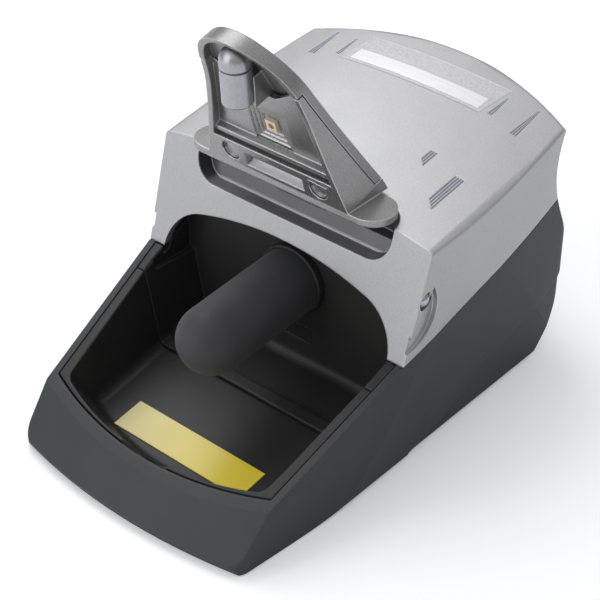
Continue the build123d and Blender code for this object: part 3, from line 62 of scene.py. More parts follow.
MM = 0.001
PHOTO_PIXELS = 600
WHITE = (1.0, 1.0, 1.0, 1.0)

Colour = tuple[float, float, float]
Place = tuple[float, float, float]
Span = tuple[float, float]


def linear(colour: Colour) -> tuple[float, float, float, float]:
    """Turns a colour as the eye sees it into the shader's own scale.

    Args:
        colour: Red, green and blue shares as a screen shows them.

    Returns:
        The same colour as a shader socket takes it.
    """
    toe, slope, lift, curve = 0.04045, 12.92, 0.055, 2.4
    shares = [part / slope if part <= toe else ((part + lift) / (1 + lift)) ** curve for part in colour]
    return (shares[0], shares[1], shares[2], 1.0)


def dimmed(colour: Colour, share: float) -> Colour:
    """Cuts each part of a colour down to a share of itself."""
    return (colour[0] * share, colour[1] * share, colour[2] * share)


class NodeBench:
    """Adds and joins the nodes of one material."""

    spot_span: Span = (0.3, 0.7)
    edge_span: Span = (0.995, 0.86)
    edge_samples: int = 6
    mix_inputs: tuple[int, int, int] = (0, 6, 7)
    mix_output: int = 2

    def __init__(self, name: str) -> None:
        """Starts an empty material with one main shader.

        Args:
            name: The material's name.
        """
        self.material = bpy.data.materials.new(name)
        self.material.use_nodes = True
        self.tree = self.material.node_tree
        self.shader = self.tree.nodes["Principled BSDF"]
        self.places = self.add("ShaderNodeTexCoord").outputs["Object"]

    def add(self, kind: str, inputs: dict[str | int, Any] | None = None, **settings: Any) -> bpy.types.Node:
        """Adds a node.

        Args:
            kind: Blender's name for the node.
            inputs: Values, or outputs of other nodes, for its sockets.
            **settings: Options of the node itself.

        Returns:
            The new node.
        """
        node = self.tree.nodes.new(kind)
        for option, value in settings.items():
            setattr(node, option, value)
        for socket, value in (inputs or {}).items():
            self.feed(node.inputs[socket], value)
        return node

    def feed(self, socket: bpy.types.NodeSocket, value: Any) -> None:
        """Sets a socket to a plain value, or joins another node's output to it.

        Args:
            socket: The socket to feed.
            value: The plain value or the other node's output.
        """
        if isinstance(value, bpy.types.NodeSocket):
            self.tree.links.new(value, socket)
        else:
            socket.default_value = value

    def noise(self, size: float, detail: float = 2.0, stretch: Place = (1, 1, 1)) -> bpy.types.NodeSocket:
        """Gives soft random spots.

        Args:
            size: How far apart the spots are, in metres.
            detail: How many finer layers the spots have.
            stretch: How much longer the spots are along each axis.

        Returns:
            A share from 0 to 1 at each place.
        """
        scale = tuple(1 / (size * length) for length in stretch)
        spread = self.add("ShaderNodeMapping", {"Vector": self.places, "Scale": scale})
        spots = self.add("ShaderNodeTexNoise", {"Vector": spread.outputs[0], "Scale": 1.0, "Detail": detail})
        return spots.outputs["Fac"]

    def ramp(self, share: bpy.types.NodeSocket, low: float, high: float,
             least: float = 0.0, most: float = 1.0) -> bpy.types.NodeSocket:
        """Spreads the part of a share between two limits over a new span.

        Args:
            share: The share to spread.
            low: Where the span starts.
            high: Where the span ends.
            least: What the start becomes.
            most: What the end becomes.

        Returns:
            The new share.
        """
        spread = self.add("ShaderNodeMapRange", {"Value": share, "From Min": low, "From Max": high,
                                                 "To Min": least, "To Max": most})
        return spread.outputs["Result"]

    def spread(self, spots: bpy.types.NodeSocket,
               least: float = 0.0, most: float = 1.0) -> bpy.types.NodeSocket:
        """Spreads random spots, which keep near their middle, over a whole span."""
        return self.ramp(spots, *self.spot_span, least, most)

    def weaken(self, share: bpy.types.NodeSocket, most: float) -> bpy.types.NodeSocket:
        """Scales a share down, so that it reaches no further than the given one."""
        return self.ramp(share, 0.0, 1.0, 0.0, most)

    def blend(self, share: bpy.types.NodeSocket, first: Any, second: Any) -> bpy.types.NodeSocket:
        """Goes from one colour to another.

        Args:
            share: How far to go, from 0 to 1.
            first: The colour at 0.
            second: The colour at 1.

        Returns:
            The mixed colour.
        """
        mix = self.add("ShaderNodeMix", data_type="RGBA")
        for socket, value in zip(self.mix_inputs, (share, first, second)):
            self.feed(mix.inputs[socket], value)
        return mix.outputs[self.mix_output]

    def edges(self, radius: float) -> tuple[bpy.types.NodeSocket, bpy.types.NodeSocket]:
        """Finds the edges of a piece.

        Args:
            radius: How far from an edge a surface counts, in metres.

        Returns:
            A normal rounded at the edges, and a share that is 1 right at them.
        """
        rounded = self.add("ShaderNodeBevel", {"Radius": radius}, samples=self.edge_samples).outputs["Normal"]
        flat = self.add("ShaderNodeNewGeometry").outputs["True Normal"]
        likeness = self.add("ShaderNodeVectorMath", {0: rounded, 1: flat}, operation="DOT_PRODUCT")
        return rounded, self.ramp(likeness.outputs["Value"], *self.edge_span)

    def sums(self, kind: str, first: Any, second: Any) -> bpy.types.NodeSocket:
        """Joins two values with one operation."""
        return self.add("ShaderNodeMath", {0: first, 1: second}, operation=kind).outputs[0]

    def bump(self, height: bpy.types.NodeSocket, depth: float, normal: Any = None) -> bpy.types.NodeSocket:
        """Makes a surface rough to the light.

        Args:
            height: A share that says how high each place is.
            depth: The height of a full share, in metres.
            normal: The normal that the roughness is added to.

        Returns:
            The rough normal.
        """
        node = self.add("ShaderNodeBump", {"Height": height, "Distance": depth, "Strength": 1.0})
        if normal is not None:
            self.feed(node.inputs["Normal"], normal)
        return node.outputs["Normal"]

    def finish(self, **sockets: Any) -> bpy.types.Material:
        """Sets the main shader's sockets and hands over the material.

        Args:
            **sockets: Values or outputs, by socket name with underscores.

        Returns:
            The finished material.
        """
        for name, value in sockets.items():
            self.feed(self.shader.inputs[name.replace("_", " ")], value)
        return self.material


@dataclass(frozen=True)
class Moulding:
    """A moulded plastic with a fine spark grain and a painted highlight that lightens its edges."""

    name: str
    colour: Colour
    edge_highlight: Colour
    roughness: float = 0.5
    grain: float = 0.35 * MM
    grain_depth: float = 0.02 * MM
    edge: float = 0.35 * MM
    cloud: float = 14 * MM
    shine: float = 0.4
    cloud_shade: float = 0.93
    edge_highlight_share: float = 0.65
    grain_detail: float = 3.0
    grain_span: Span = (0.25, 0.75)
    gloss_gain: float = 0.06
    gloss_loss: float = 0.08

    def make(self) -> bpy.types.Material:
        """Builds the material.

        Returns:
            The finished material.
        """
        bench = NodeBench(self.name)
        normal, edge_highlight = bench.edges(self.edge)
        clouds = bench.spread(bench.noise(self.cloud))
        body = bench.blend(clouds, linear(dimmed(self.colour, self.cloud_shade)), linear(self.colour))
        # Painted highlight: the edges are lightened towards the highlight colour.
        colour = bench.blend(bench.weaken(edge_highlight, self.edge_highlight_share), body, linear(self.edge_highlight))
        grain = bench.noise(self.grain, self.grain_detail)
        smooth, coarse = self.roughness - self.gloss_gain, self.roughness + self.gloss_loss
        rough = bench.ramp(grain, *self.grain_span, smooth, coarse)
        return bench.finish(Base_Color=colour, Roughness=rough, Specular_IOR_Level=self.shine,
                            Normal=bench.bump(grain, self.grain_depth, normal))


@dataclass(frozen=True)
class Paint:
    """A satin metal paint: fine flakes under a thin clear coat."""

    name: str
    colour: Colour
    flake: Colour
    metal_share: float = 0.45
    roughness: float = 0.36
    flake_size: float = 0.22 * MM
    orange_peel: float = 1.6 * MM
    peel_depth: float = 0.006 * MM
    edge: float = 0.45 * MM
    edge_highlight_colour: Colour = (0.92, 0.92, 0.93)
    glint: float = 0.75
    flake_detail: float = 1.0
    flake_span: Span = (0.35, 0.7)
    patch: float = 9 * MM
    patch_gloss: float = 0.04
    coat: float = 0.15
    coat_roughness: float = 0.25

    def add_painted_shade(self, bench: NodeBench, colour: bpy.types.NodeSocket) -> bpy.types.NodeSocket:
        """Leaves the paint as it is; a paint with painted shade changes it."""
        return colour

    def make(self) -> bpy.types.Material:
        """Builds the material.

        Returns:
            The finished material.
        """
        bench = NodeBench(self.name)
        normal, edge_highlight = bench.edges(self.edge)
        flakes = bench.ramp(bench.noise(self.flake_size, self.flake_detail), *self.flake_span)
        paint = self.add_painted_shade(bench, bench.blend(flakes, linear(self.colour), linear(self.flake)))
        # Painted highlight: the edges are lightened towards a near-white.
        colour = bench.blend(bench.weaken(edge_highlight, self.glint), paint, linear(self.edge_highlight_colour))
        smooth, coarse = self.roughness - self.patch_gloss, self.roughness + self.patch_gloss
        rough = bench.spread(bench.noise(self.patch), smooth, coarse)
        peel = bench.noise(self.orange_peel)
        return bench.finish(Base_Color=colour, Roughness=rough, Metallic=self.metal_share,
                            Coat_Weight=self.coat, Coat_Roughness=self.coat_roughness,
                            Normal=bench.bump(peel, self.peel_depth, normal))


@dataclass(frozen=True)
class NotchShadedPaint(Paint):
    """The housing's paint, with painted shade that darkens the inside of the notch that the hood folds into.
    """

    painted_floor_shade: Colour = (0.66, 0.66, 0.67)
    painted_wall_shade: Colour = (0.38, 0.38, 0.39)
    floor_high: float = 49.2 * MM
    wall_low: float = 49.8 * MM
    notch_half: float = 28.7 * MM
    notch_low: float = 48.8 * MM
    notch_back: float = 4.2 * MM
    skin: float = 0.35 * MM
    plate_foot: tuple[float, float] = (-10.0 * MM, 30.5 * MM)
    plate_lean: float = math.radians(16.6)
    top_front: tuple[float, float] = (-2.3 * MM, 56.3 * MM)
    top_slope: float = math.radians(8.0)
    crown: float = 3.0 * MM
    crown_half: float = 39.4 * MM

    def inside_notch(self, bench: NodeBench) -> bpy.types.NodeSocket:
        """Finds the walls of the notch.

        Args:
            bench: The material that is being made.

        Returns:
            A share that is 1 on the notch's walls and 0 elsewhere.
        """
        split = bench.add("ShaderNodeSeparateXYZ", {0: bench.places})
        across, along, height = (split.outputs[name] for name in "XYZ")
        foot_y, foot_z = self.plate_foot
        normal = (0, -math.cos(self.plate_lean), math.sin(self.plate_lean))
        ahead = bench.add("ShaderNodeVectorMath", {0: bench.places, 1: normal}, operation="DOT_PRODUCT")
        plate = foot_y * normal[1] + foot_z * normal[2]
        square = bench.sums("MULTIPLY", across, across)
        fall = bench.sums("MULTIPLY", square, self.crown / self.crown_half ** 2)
        rise = bench.sums("MULTIPLY", along, math.tan(self.top_slope))
        level = bench.sums("SUBTRACT", bench.sums("ADD", height, fall), rise)
        top_y, top_z = self.top_front
        top = top_z + self.crown - top_y * math.tan(self.top_slope)
        tests = (
            bench.sums("LESS_THAN", bench.sums("ABSOLUTE", across, 0.0), self.notch_half),
            bench.sums("GREATER_THAN", height, self.notch_low),
            bench.sums("LESS_THAN", along, self.notch_back),
            bench.sums("LESS_THAN", ahead.outputs["Value"], plate - self.skin),
            bench.sums("LESS_THAN", level, top - self.skin),
        )
        share = tests[0]
        for test in tests[1:]:
            share = bench.sums("MULTIPLY", share, test)
        return share

    def add_painted_shade(self, bench: NodeBench, colour: bpy.types.NodeSocket) -> bpy.types.NodeSocket:
        """Paints shade inside the notch, darker on its walls than on its floor.

        Args:
            bench: The material that is being made.
            colour: The paint as it is outside the notch.

        Returns:
            The paint with painted shade in the notch.
        """
        height = bench.add("ShaderNodeSeparateXYZ", {0: bench.places}).outputs["Z"]
        # Painted shade: the notch's floor gets a lighter painted shade than its walls.
        climb = bench.ramp(height, self.floor_high, self.wall_low)
        shade = bench.blend(climb, linear(self.painted_floor_shade), linear(self.painted_wall_shade))
        # Painted shade: the notch is darkened to stand for the shade that falls in it.
        return bench.blend(self.inside_notch(bench), colour, shade)


@dataclass(frozen=True)
class Metal:
    """A bare metal, polished or brushed along one axis."""

    name: str
    colour: Colour
    dull: Colour
    roughness: float
    brush: Place = (1, 1, 1)
    brush_size: float = 0.4 * MM
    brush_depth: float = 0.002 * MM
    edge: float = 0.15 * MM
    brush_detail: float = 3.0
    dull_share: float = 1.3
    bright_share: float = 0.8

    def make(self) -> bpy.types.Material:
        """Builds the material.

        Returns:
            The finished material.
        """
        bench = NodeBench(self.name)
        normal, _ = bench.edges(self.edge)
        lines = bench.noise(self.brush_size, self.brush_detail, self.brush)
        colour = bench.blend(bench.spread(lines), linear(self.dull), linear(self.colour))
        rough = bench.spread(lines, self.roughness * self.dull_share, self.roughness * self.bright_share)
        return bench.finish(Base_Color=colour, Metallic=1.0, Roughness=rough,
                            Normal=bench.bump(lines, self.brush_depth, normal))


@dataclass(frozen=True)
class Rubber:
    """A soft matt rubber with light spots of dust and a painted highlight on its edges."""

    name: str
    colour: Colour
    dust_and_edge_highlight: Colour
    roughness: float = 0.62
    bloom_size: float = 4 * MM
    pore: float = 0.3 * MM
    pore_depth: float = 0.015 * MM
    edge: float = 0.5 * MM
    bloom_detail: float = 5.0
    bloom_span: Span = (0.35, 0.75)
    bloom_share: float = 0.6
    edge_highlight_share: float = 0.4
    shine: float = 0.45
    nap: float = 0.08

    def make(self) -> bpy.types.Material:
        """Builds the material.

        Returns:
            The finished material.
        """
        bench = NodeBench(self.name)
        normal, edge_highlight = bench.edges(self.edge)
        spots = bench.noise(self.bloom_size, self.bloom_detail)
        dust = bench.ramp(spots, *self.bloom_span, 0.0, self.bloom_share)
        colour = bench.blend(dust, linear(self.colour), linear(self.dust_and_edge_highlight))
        # Painted highlight: the edges are lightened towards the dust colour.
        colour = bench.blend(bench.weaken(edge_highlight, self.edge_highlight_share), colour, linear(self.dust_and_edge_highlight))
        pores = bench.noise(self.pore)
        return bench.finish(Base_Color=colour, Roughness=self.roughness, Specular_IOR_Level=self.shine,
                            Sheen_Weight=self.nap, Normal=bench.bump(pores, self.pore_depth, normal))


@dataclass(frozen=True)
class Print:
    """A printed or filmed layer: an even colour with fine mottling."""

    name: str
    colour: Colour
    mottle: Colour
    roughness: float = 0.5
    size: float = 0.6 * MM
    detail: float = 4.0
    wash: float = 11 * MM
    mottle_span: Span = (0.1, 0.45)
    depth: float = 0.004 * MM

    def make(self) -> bpy.types.Material:
        """Builds the material.

        Returns:
            The finished material.
        """
        bench = NodeBench(self.name)
        spots = bench.noise(self.size, self.detail)
        share = bench.sums("MULTIPLY", spots, bench.noise(self.wash))
        colour = bench.blend(bench.ramp(share, *self.mottle_span), linear(self.mottle), linear(self.colour))
        return bench.finish(Base_Color=colour, Roughness=self.roughness,
                            Normal=bench.bump(spots, self.depth))


@dataclass(frozen=True)
class FilmWithPaintedLight(Print):
    """A coloured film with painted light that makes it paler towards its left end."""

    pale: Colour = (0.86, 0.82, 0.56)
    pale_x: float = -20 * MM
    full_x: float = 14 * MM
    mottle_share: float = 0.35
    patch: float = 9 * MM
    patch_gloss: float = 0.06
    coat: float = 0.2
    coat_roughness: float = 0.2
    wave: float = 5 * MM
    wave_depth: float = 0.02 * MM

    def make(self) -> bpy.types.Material:
        """Builds the material.

        Returns:
            The finished material.
        """
        bench = NodeBench(self.name)
        across = bench.add("ShaderNodeSeparateXYZ", {0: bench.places}).outputs["X"]
        light_sweep = bench.ramp(across, self.pale_x, self.full_x)
        spots = bench.spread(bench.noise(self.size, self.detail), 0.0, self.mottle_share)
        film = bench.blend(spots, linear(self.colour), linear(self.mottle))
        # Painted light: the film turns paler towards its left end.
        colour = bench.blend(light_sweep, linear(self.pale), film)
        smooth, coarse = self.roughness - self.patch_gloss, self.roughness + self.patch_gloss
        gloss = bench.spread(bench.noise(self.patch), smooth, coarse)
        return bench.finish(Base_Color=colour, Roughness=gloss, Coat_Weight=self.coat,
                            Coat_Roughness=self.coat_roughness,
                            Normal=bench.bump(bench.noise(self.wave), self.wave_depth))


@dataclass(frozen=True)
class Board:
    """A circuit board: lacquer over a faint grid of tracks."""

    name: str
    colour: Colour
    track: Colour
    pitch: float = 2.5 * MM
    track_share: float = 0.06
    track_depth: float = 0.03 * MM
    field_shade: float = 0.9
    lacquer: float = 1.5 * MM
    lacquer_span: Span = (0.25, 0.4)

    def make(self) -> bpy.types.Material:
        """Builds the material.

        Returns:
            The finished material.
        """
        bench = NodeBench(self.name)
        tiles = bench.add("ShaderNodeTexBrick", {
            "Vector": bench.places,
            "Scale": 1 / self.pitch,
            "Mortar Size": self.track_share,
            "Color1": linear(self.colour),
            "Color2": linear(dimmed(self.colour, self.field_shade)),
            "Mortar": linear(self.track),
        })
        gloss = bench.spread(bench.noise(self.lacquer), *self.lacquer_span)
        return bench.finish(Base_Color=tiles.outputs["Color"], Roughness=gloss,
                            Normal=bench.bump(tiles.outputs["Fac"], self.track_depth))


@dataclass(frozen=True)
class Lens:
    """A clear or milky moulded light window."""

    name: str
    colour: Colour
    core: Colour
    roughness: float = 0.15
    edge: float = 0.2 * MM
    milk: float = 0.9 * MM
    milk_detail: float = 3.0
    edge_highlight_share: float = 0.4
    coat: float = 0.5

    def make(self) -> bpy.types.Material:
        """Builds the material.

        Returns:
            The finished material.
        """
        bench = NodeBench(self.name)
        normal, edge_highlight = bench.edges(self.edge)
        milk = bench.spread(bench.noise(self.milk, self.milk_detail))
        colour = bench.blend(milk, linear(self.core), linear(self.colour))
        # Painted highlight: the edges are lightened towards the clear outer colour.
        colour = bench.blend(bench.weaken(edge_highlight, self.edge_highlight_share), colour, linear(self.colour))
        return bench.finish(Base_Color=colour, Roughness=self.roughness, Coat_Weight=self.coat,
                            Normal=normal)


class Stock(Enum):
    """Every finish on the tester."""

    # The housing's silver, with painted shade inside the notch.
    HOUSING = NotchShadedPaint("housing_silver", (0.70, 0.70, 0.71), (0.76, 0.76, 0.77), metal_share=0.6)
    # Painted shade: a dark silver for the block that sits in the shaded trough.
    TROUGH = Paint("trough_painted_shade", (0.26, 0.26, 0.27), (0.32, 0.32, 0.33), metal_share=0.4)
    COVER = Paint("cover_silver", (0.56, 0.555, 0.56), (0.64, 0.635, 0.64), metal_share=0.7, roughness=0.34)
    FRAME = Paint("frame_silver", (0.60, 0.593, 0.597), (0.69, 0.683, 0.687), metal_share=0.8, roughness=0.28)
    # Painted highlight: a near-white silver for the slot shelf, which stands for the light it catches.
    SHELF = Paint("shelf_painted_highlight", (0.90, 0.90, 0.91), (0.95, 0.95, 0.96), metal_share=0.1)
    SHELL = Moulding("black_shell", (0.235, 0.24, 0.25), (0.37, 0.37, 0.39), edge=0.5 * MM)
    FOOT = Moulding("black_foot", (0.225, 0.23, 0.24), (0.40, 0.40, 0.42))
    LINER = Moulding("black_liner", (0.17, 0.17, 0.175), (0.30, 0.30, 0.31), roughness=0.44, edge=0.6 * MM)
    DARK = Moulding("dark_plastic", (0.18, 0.18, 0.19), (0.36, 0.36, 0.38), roughness=0.42)
    CHIP = Moulding("chip_black", (0.12, 0.12, 0.12), (0.25, 0.25, 0.25))
    RUBBER = Rubber("post_rubber", (0.215, 0.215, 0.225), (0.255, 0.255, 0.265), bloom_size=9 * MM)
    INK = Print("marker_ink", (0.42, 0.43, 0.50), (0.50, 0.51, 0.57))
    # The label has painted light that makes its left end paler.
    LABEL = FilmWithPaintedLight("label_yellow", (0.97, 0.88, 0.24), (0.95, 0.85, 0.32), roughness=0.34)
    WRAP = Print("battery_wrap", (0.30, 0.32, 0.36), (0.26, 0.28, 0.32), roughness=0.3)
    FOIL = Metal("foil", (0.78, 0.78, 0.79), (0.72, 0.72, 0.73), 0.5, brush_depth=0.0003 * MM)
    STRIP = Metal("foil_strip", (0.87, 0.87, 0.88), (0.84, 0.84, 0.85), 0.38, brush=(12, 1, 1),
                  brush_depth=0.00005 * MM)
    CHROME = Metal("bright_steel", (0.80, 0.80, 0.82), (0.70, 0.70, 0.72), 0.15, brush=(1, 1, 6))
    SATIN = Metal("satin_steel", (0.74, 0.74, 0.76), (0.70, 0.70, 0.72), 0.34, edge=0.3 * MM)
    SCREW = Metal("screw_steel", (0.62, 0.62, 0.64), (0.50, 0.50, 0.52), 0.3)
    BRASS = Metal("brass_plate", (0.80, 0.70, 0.45), (0.68, 0.58, 0.36), 0.3)
    BOARD = Board("board_green", (0.10, 0.36, 0.20), (0.24, 0.50, 0.30))
    CREAM = Lens("light_cream", (0.92, 0.87, 0.76), (0.86, 0.80, 0.68), 0.35)
    AMBER = Lens("light_amber", (0.66, 0.44, 0.26), (0.45, 0.26, 0.14), 0.2)
    SMOKE = Lens("window_smoke", (0.10, 0.10, 0.11), (0.07, 0.07, 0.08), 0.2)


@dataclass
class Studio:
    """The floor, the lights and the camera."""

    eye: Place = (214.7 * MM, -247.7 * MM, 263.1 * MM)
    turn: float = math.radians(40.9)
    tilt: float = math.radians(36.0)
    focal_pixels: float = 1756.8
    film: float = 36.0
    near: float = 10 * MM
    aim_height: float = 30 * MM
    key_place: Place = (-0.45, 0.15, 0.75)
    key_size: float = 0.6
    key_power: float = 2.8
    fill_place: Place = (-0.3, -0.75, 0.38)
    fill_size: float = 0.7
    fill_power: float = 2.0
    horizon: float = 0.3
    zenith: float = 0.7
    floor_size: float = 6.0
    paper: Colour = (0.955, 0.96, 0.965)
    paper_fleck: Colour = (0.975, 0.98, 0.985)
    paper_grain: float = 3 * MM
    paper_detail: float = 4.0
    paper_roughness: float = 0.9
    paper_shine: float = 0.1
    glow: float = 0.27
    glow_colour: Colour = (0.97, 0.985, 1.0)

    def camera(self) -> bpy.types.Object:
        """Places the camera where the photograph was taken from.

        Returns:
            The camera.
        """
        data = bpy.data.cameras.new("camera")
        data.sensor_width = self.film
        data.lens = self.focal_pixels / PHOTO_PIXELS * self.film
        data.clip_start = self.near
        camera = bpy.data.objects.new("camera", data)
        bpy.context.scene.collection.objects.link(camera)
        back = Vector((math.sin(self.turn) * math.cos(self.tilt),
                       -math.cos(self.turn) * math.cos(self.tilt), math.sin(self.tilt)))
        right = Vector((math.cos(self.turn), math.sin(self.turn), 0))
        axes = Matrix((right, back.cross(right), back)).transposed()
        camera.matrix_world = Matrix.Translation(self.eye) @ axes.to_4x4()
        bpy.context.scene.camera = camera
        return camera

    def lamp(self, name: str, place: Place, size: float, power: float) -> bpy.types.Object:
        """Hangs a square soft light that faces the tester.

        Args:
            name: The lamp's name.
            place: Where it hangs.
            size: The side of its square.
            power: Its power in watts.

        Returns:
            The lamp.
        """
        data = bpy.data.lights.new(name, "AREA")
        data.size = size
        data.energy = power
        lamp = bpy.data.objects.new(name, data)
        bpy.context.scene.collection.objects.link(lamp)
        aim = Vector((0, 0, self.aim_height)) - Vector(place)
        lamp.matrix_world = Matrix.Translation(place) @ aim.to_track_quat("-Z", "Y").to_matrix().to_4x4()
        return lamp

    def world(self) -> None:
        """Makes the surroundings plain white to the eye and softer as a light."""
        world = bpy.data.worlds.new("studio_world")
        bpy.context.scene.world = world
        world.use_nodes = True
        tree = world.node_tree
        background = tree.nodes["Background"]
        background.inputs["Color"].default_value = WHITE
        places = tree.nodes.new("ShaderNodeTexCoord")
        split = tree.nodes.new("ShaderNodeSeparateXYZ")
        tree.links.new(places.outputs["Generated"], split.inputs[0])
        level = tree.nodes.new("ShaderNodeMapRange")
        level.inputs["To Min"].default_value = self.horizon
        level.inputs["To Max"].default_value = self.zenith
        tree.links.new(split.outputs["Z"], level.inputs["Value"])
        path = tree.nodes.new("ShaderNodeLightPath")
        either = tree.nodes.new("ShaderNodeMath")
        either.operation = "MAXIMUM"
        tree.links.new(path.outputs["Is Camera Ray"], either.inputs[0])
        tree.links.new(path.outputs["Is Transmission Ray"], either.inputs[1])
        strength = tree.nodes.new("ShaderNodeMapRange")
        tree.links.new(level.outputs["Result"], strength.inputs["To Min"])
        tree.links.new(either.outputs[0], strength.inputs["Value"])
        tree.links.new(strength.outputs["Result"], background.inputs["Strength"])

    def floor(self) -> bpy.types.Object:
        """Lays the pale floor, which keeps the tester's shadow.

        Returns:
            The floor.
        """
        mesh = bpy.data.meshes.new("floor")
        half = self.floor_size / 2
        corners = [(-half, -half, 0), (half, -half, 0), (half, half, 0), (-half, half, 0)]
        mesh.from_pydata(corners, [], [(0, 1, 2, 3)])
        floor = bpy.data.objects.new("floor", mesh)
        bpy.context.scene.collection.objects.link(floor)
        bench = NodeBench("floor_paper")
        grain = bench.noise(self.paper_grain, self.paper_detail)
        colour = bench.blend(grain, linear(self.paper), linear(self.paper_fleck))
        bench.finish(Base_Color=colour, Roughness=self.paper_roughness, Specular_IOR_Level=self.paper_shine)
        path = bench.add("ShaderNodeLightPath")
        lift = bench.weaken(path.outputs["Is Camera Ray"], self.glow)
        glow = bench.add("ShaderNodeEmission", {"Color": (*self.glow_colour, 1.0), "Strength": lift})
        both = bench.add("ShaderNodeAddShader", {0: bench.shader.outputs[0], 1: glow.outputs[0]})
        bench.feed(bench.tree.nodes["Material Output"].inputs["Surface"], both.outputs[0])
        mesh.materials.append(bench.material)
        return floor

    def build(self) -> None:
        """Builds the whole studio."""
        self.camera()
        self.world()
        self.lamp("key_lamp", self.key_place, self.key_size, self.key_power)
        self.lamp("fill_lamp", self.fill_place, self.fill_size, self.fill_power)
        self.floor()
        bpy.context.scene.view_settings.view_transform = "Standard"


@dataclass
class SubAssembly:
    """A group of CAD nodes and the pieces that are added to them."""

    frame: dict[str, Any]
    finishes: dict[Stock, bpy.types.Material]
    pieces: list[str] = field(default_factory=list)

    def dress(self, finish: Stock, *nodes: str) -> None:
        """Gives CAD nodes a finish and notes them as done.

        Args:
            finish: The finish to give.
            *nodes: The names of the nodes.
        """
        for name in nodes:
            materials = self.frame["nodes"][name].data.materials
            materials.clear()
            materials.append(self.finishes[finish])
            self.pieces.append(name)


@dataclass
class LowerShells(SubAssembly):
    """The black body, its foot, battery door, pads and screws."""

    def build(self) -> None:
        """Dresses the lower shells."""
        self.dress(Stock.SHELL, "middle_shell")
        self.dress(Stock.FOOT, "foot_shell", "battery_door")
        self.dress(Stock.RUBBER, "rubber_feet")
        self.dress(Stock.SCREW, "case_screws")


@dataclass
class Housing(SubAssembly):
    """The silver housing with its marks, its slanted panel and its side balls."""

    def build(self) -> None:
        """Dresses the housing."""
        self.dress(Stock.HOUSING, "top_housing")
        self.dress(Stock.INK, "outer_marker_left", "outer_marker_right",
                   "inner_marker_left", "inner_marker_right")
        self.dress(Stock.FOIL, "name_panel")
        self.dress(Stock.STRIP, "name_strip")
        # The hinge block gets painted shade, darker than the housing silver.
        self.dress(Stock.TROUGH, "hinge_block")
        self.dress(Stock.DARK, "ball_sleeve_left", "ball_sleeve_right")
        self.dress(Stock.CHROME, "side_ball_left", "side_ball_right", "hinge_pin")


@dataclass
class TestChamber(SubAssembly):
    """The dark chamber, the loose tray and the rubber post."""

    def build(self) -> None:
        """Dresses the chamber."""
        self.dress(Stock.LINER, "chamber_liner", "tray_liner", "post_collar")
        self.dress(Stock.LABEL, "label_panel")
        self.dress(Stock.RUBBER, "ring_post")
        self.dress(Stock.DARK, "post_core")
        self.dress(Stock.SCREW, "post_screw")
        self.dress(Stock.SMOKE, "sensor_window")


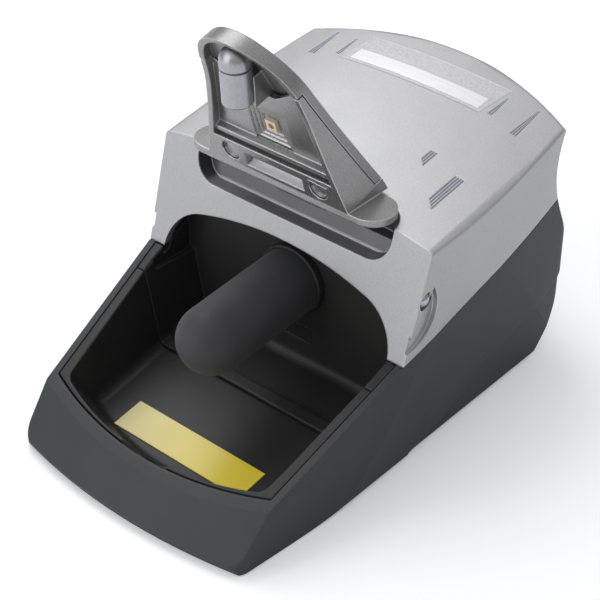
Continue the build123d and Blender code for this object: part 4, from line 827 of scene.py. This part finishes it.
@dataclass
class Hood(SubAssembly):
    """The fold-down hood with its lamp and its small light."""

    lean: float = math.radians(15.0)
    foot: tuple[float, float] = (-7.6 * MM, 60.9 * MM)
    clip_low: float = 5.5 * MM
    clip_rise: float = 0.35 * MM
    clip_front: float = 0.1 * MM
    clip_start: float = 9.6 * MM
    clip_end: float = 15.4 * MM
    clip_hook: float = 1.2 * MM
    clip_thickness: float = 0.28 * MM
    clip_facets: int = 3
    clip_order: int = 3
    slot_half: float = 8.15 * MM
    slot_low: float = 1.05 * MM
    slot_high: float = 4.35 * MM
    shelf_reach: float = 3.1 * MM
    shelf_skin: float = 0.4 * MM
    arc_steps: int = 8

    def place(self, across: float, up: float, back: float) -> Place:
        """Turns a place on the leaning hood into one of the tester.

        Args:
            across: How far to the right.
            up: How far up the lean.
            back: How far behind the hood's front.

        Returns:
            The place in the tester's own frame.
        """
        foot_y, foot_z = self.foot
        sine, cosine = math.sin(self.lean), math.cos(self.lean)
        return (across, foot_y - up * sine + back * cosine, foot_z + up * cosine + back * sine)

    def slot_shelf(self) -> bpy.types.Object:
        """Lines the slot between the pins with a flat shelf that curls up at the back.

        Returns:
            The shelf.
        """
        turn = self.slot_high - self.slot_low - self.shelf_skin
        skin = [(self.slot_low, 0.0)]
        for step in range(self.arc_steps + 1):
            angle = math.pi / 2 * step / self.arc_steps
            back = self.shelf_reach - turn + turn * math.sin(angle)
            skin.append((self.slot_low + turn - turn * math.cos(angle), back))
        skin.append((self.slot_high, self.shelf_reach))
        rear = [(up - self.shelf_skin, back + self.shelf_skin) for up, back in reversed(skin)]
        # The shelf carries a painted highlight.
        return self.sweep("slot_shelf", skin + rear, self.slot_half, Stock.SHELF, "hood")

    def sweep(self, name: str, outline: list[tuple[float, float]], half: float,
              finish: Stock, body: str) -> bpy.types.Object:
        """Draws a closed outline out to both sides of the middle.

        Args:
            name: The new piece's name.
            outline: Places up the lean and behind the front, in order.
            half: Half of the piece's width.
            finish: The piece's finish.
            body: The body that it rides on.

        Returns:
            The new piece.
        """
        mesh = bpy.data.meshes.new(name)
        build = bmesh.new()
        rings = [
            [build.verts.new(self.place(side * half, up, back)) for up, back in outline]
            for side in (-1, 1)
        ]
        count = len(outline)
        for spot in range(count):
            after = (spot + 1) % count
            build.faces.new((rings[0][spot], rings[0][after], rings[1][after], rings[1][spot]))
        for ring in rings:
            build.faces.new(ring)
        bmesh.ops.recalc_face_normals(build, faces=build.faces)
        build.to_mesh(mesh)
        build.free()
        piece = bpy.data.objects.new(name, mesh)
        bpy.context.scene.collection.objects.link(piece)
        mesh.materials.append(self.finishes[finish])
        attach(piece, body)
        return piece

    def pin_clip(self) -> bpy.types.Object:
        """Bends the thin wire clip that lies over the right pin.

        Returns:
            The clip.
        """
        curve = bpy.data.curves.new("pin_clip", "CURVE")
        curve.dimensions = "3D"
        curve.bevel_depth = self.clip_thickness / 2
        curve.bevel_resolution = self.clip_facets
        curve.use_fill_caps = True
        back = -self.clip_front
        stops = (
            (self.clip_start, self.clip_low - self.clip_hook, back + self.clip_hook),
            (self.clip_start, self.clip_low - self.clip_hook / 2, back),
            (self.clip_start + self.clip_hook, self.clip_low, back),
            (self.clip_end - self.clip_hook, self.clip_low - self.clip_rise, back),
            (self.clip_end, self.clip_low - self.clip_rise, back),
        )
        line = curve.splines.new("NURBS")
        line.points.add(len(stops) - 1)
        for point, stop in zip(line.points, stops):
            point.co = (*self.place(*stop), 1.0)
        line.order_u = self.clip_order
        line.use_endpoint_u = True
        curve.materials.append(self.finishes[Stock.CHROME])
        clip = bpy.data.objects.new("pin_clip", curve)
        bpy.context.scene.collection.objects.link(clip)
        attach(clip, "hood")
        return clip

    def build(self) -> None:
        """Dresses the hood and adds the two pieces that only show here."""
        self.dress(Stock.FRAME, "hood_frame")
        self.dress(Stock.COVER, "hood_cover")
        self.dress(Stock.SATIN, "lamp_barrel", "lamp_dome", "hood_pins")
        self.dress(Stock.CREAM, "light_base")
        self.dress(Stock.AMBER, "light_emitter")
        self.dress(Stock.BOARD, "light_board")
        for piece in (self.slot_shelf(), self.pin_clip()):
            self.pieces.append(piece.name)


@dataclass
class Electronics(SubAssembly):
    """The boards, the buzzer, the battery and the rear inlet and switch."""

    def build(self) -> None:
        """Dresses the electronics."""
        self.dress(Stock.BOARD, "main_board", "sensor_board")
        self.dress(Stock.CHIP, "board_chips", "buzzer", "power_inlet", "switch_frame")
        self.dress(Stock.SCREW, "board_screws")
        self.dress(Stock.WRAP, "battery")
        self.dress(Stock.CHROME, "battery_terminals", "inlet_pin")
        self.dress(Stock.BRASS, "battery_contacts")
        self.dress(Stock.DARK, "battery_holder", "switch_rocker")


def main() -> None:
    """Builds the tester's looks and the studio."""
    logging.basicConfig(level=logging.INFO, format="%(message)s")
    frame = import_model()
    finishes = {stock: stock.value.make() for stock in Stock}
    for kind in (LowerShells, Housing, TestChamber, Hood, Electronics):
        assembly = kind(frame, finishes)
        assembly.build()
        for piece in assembly.pieces:
            log.info("%s: %s", kind.__name__, piece)
    Studio().build()


if __name__ == "__main__":
    main()
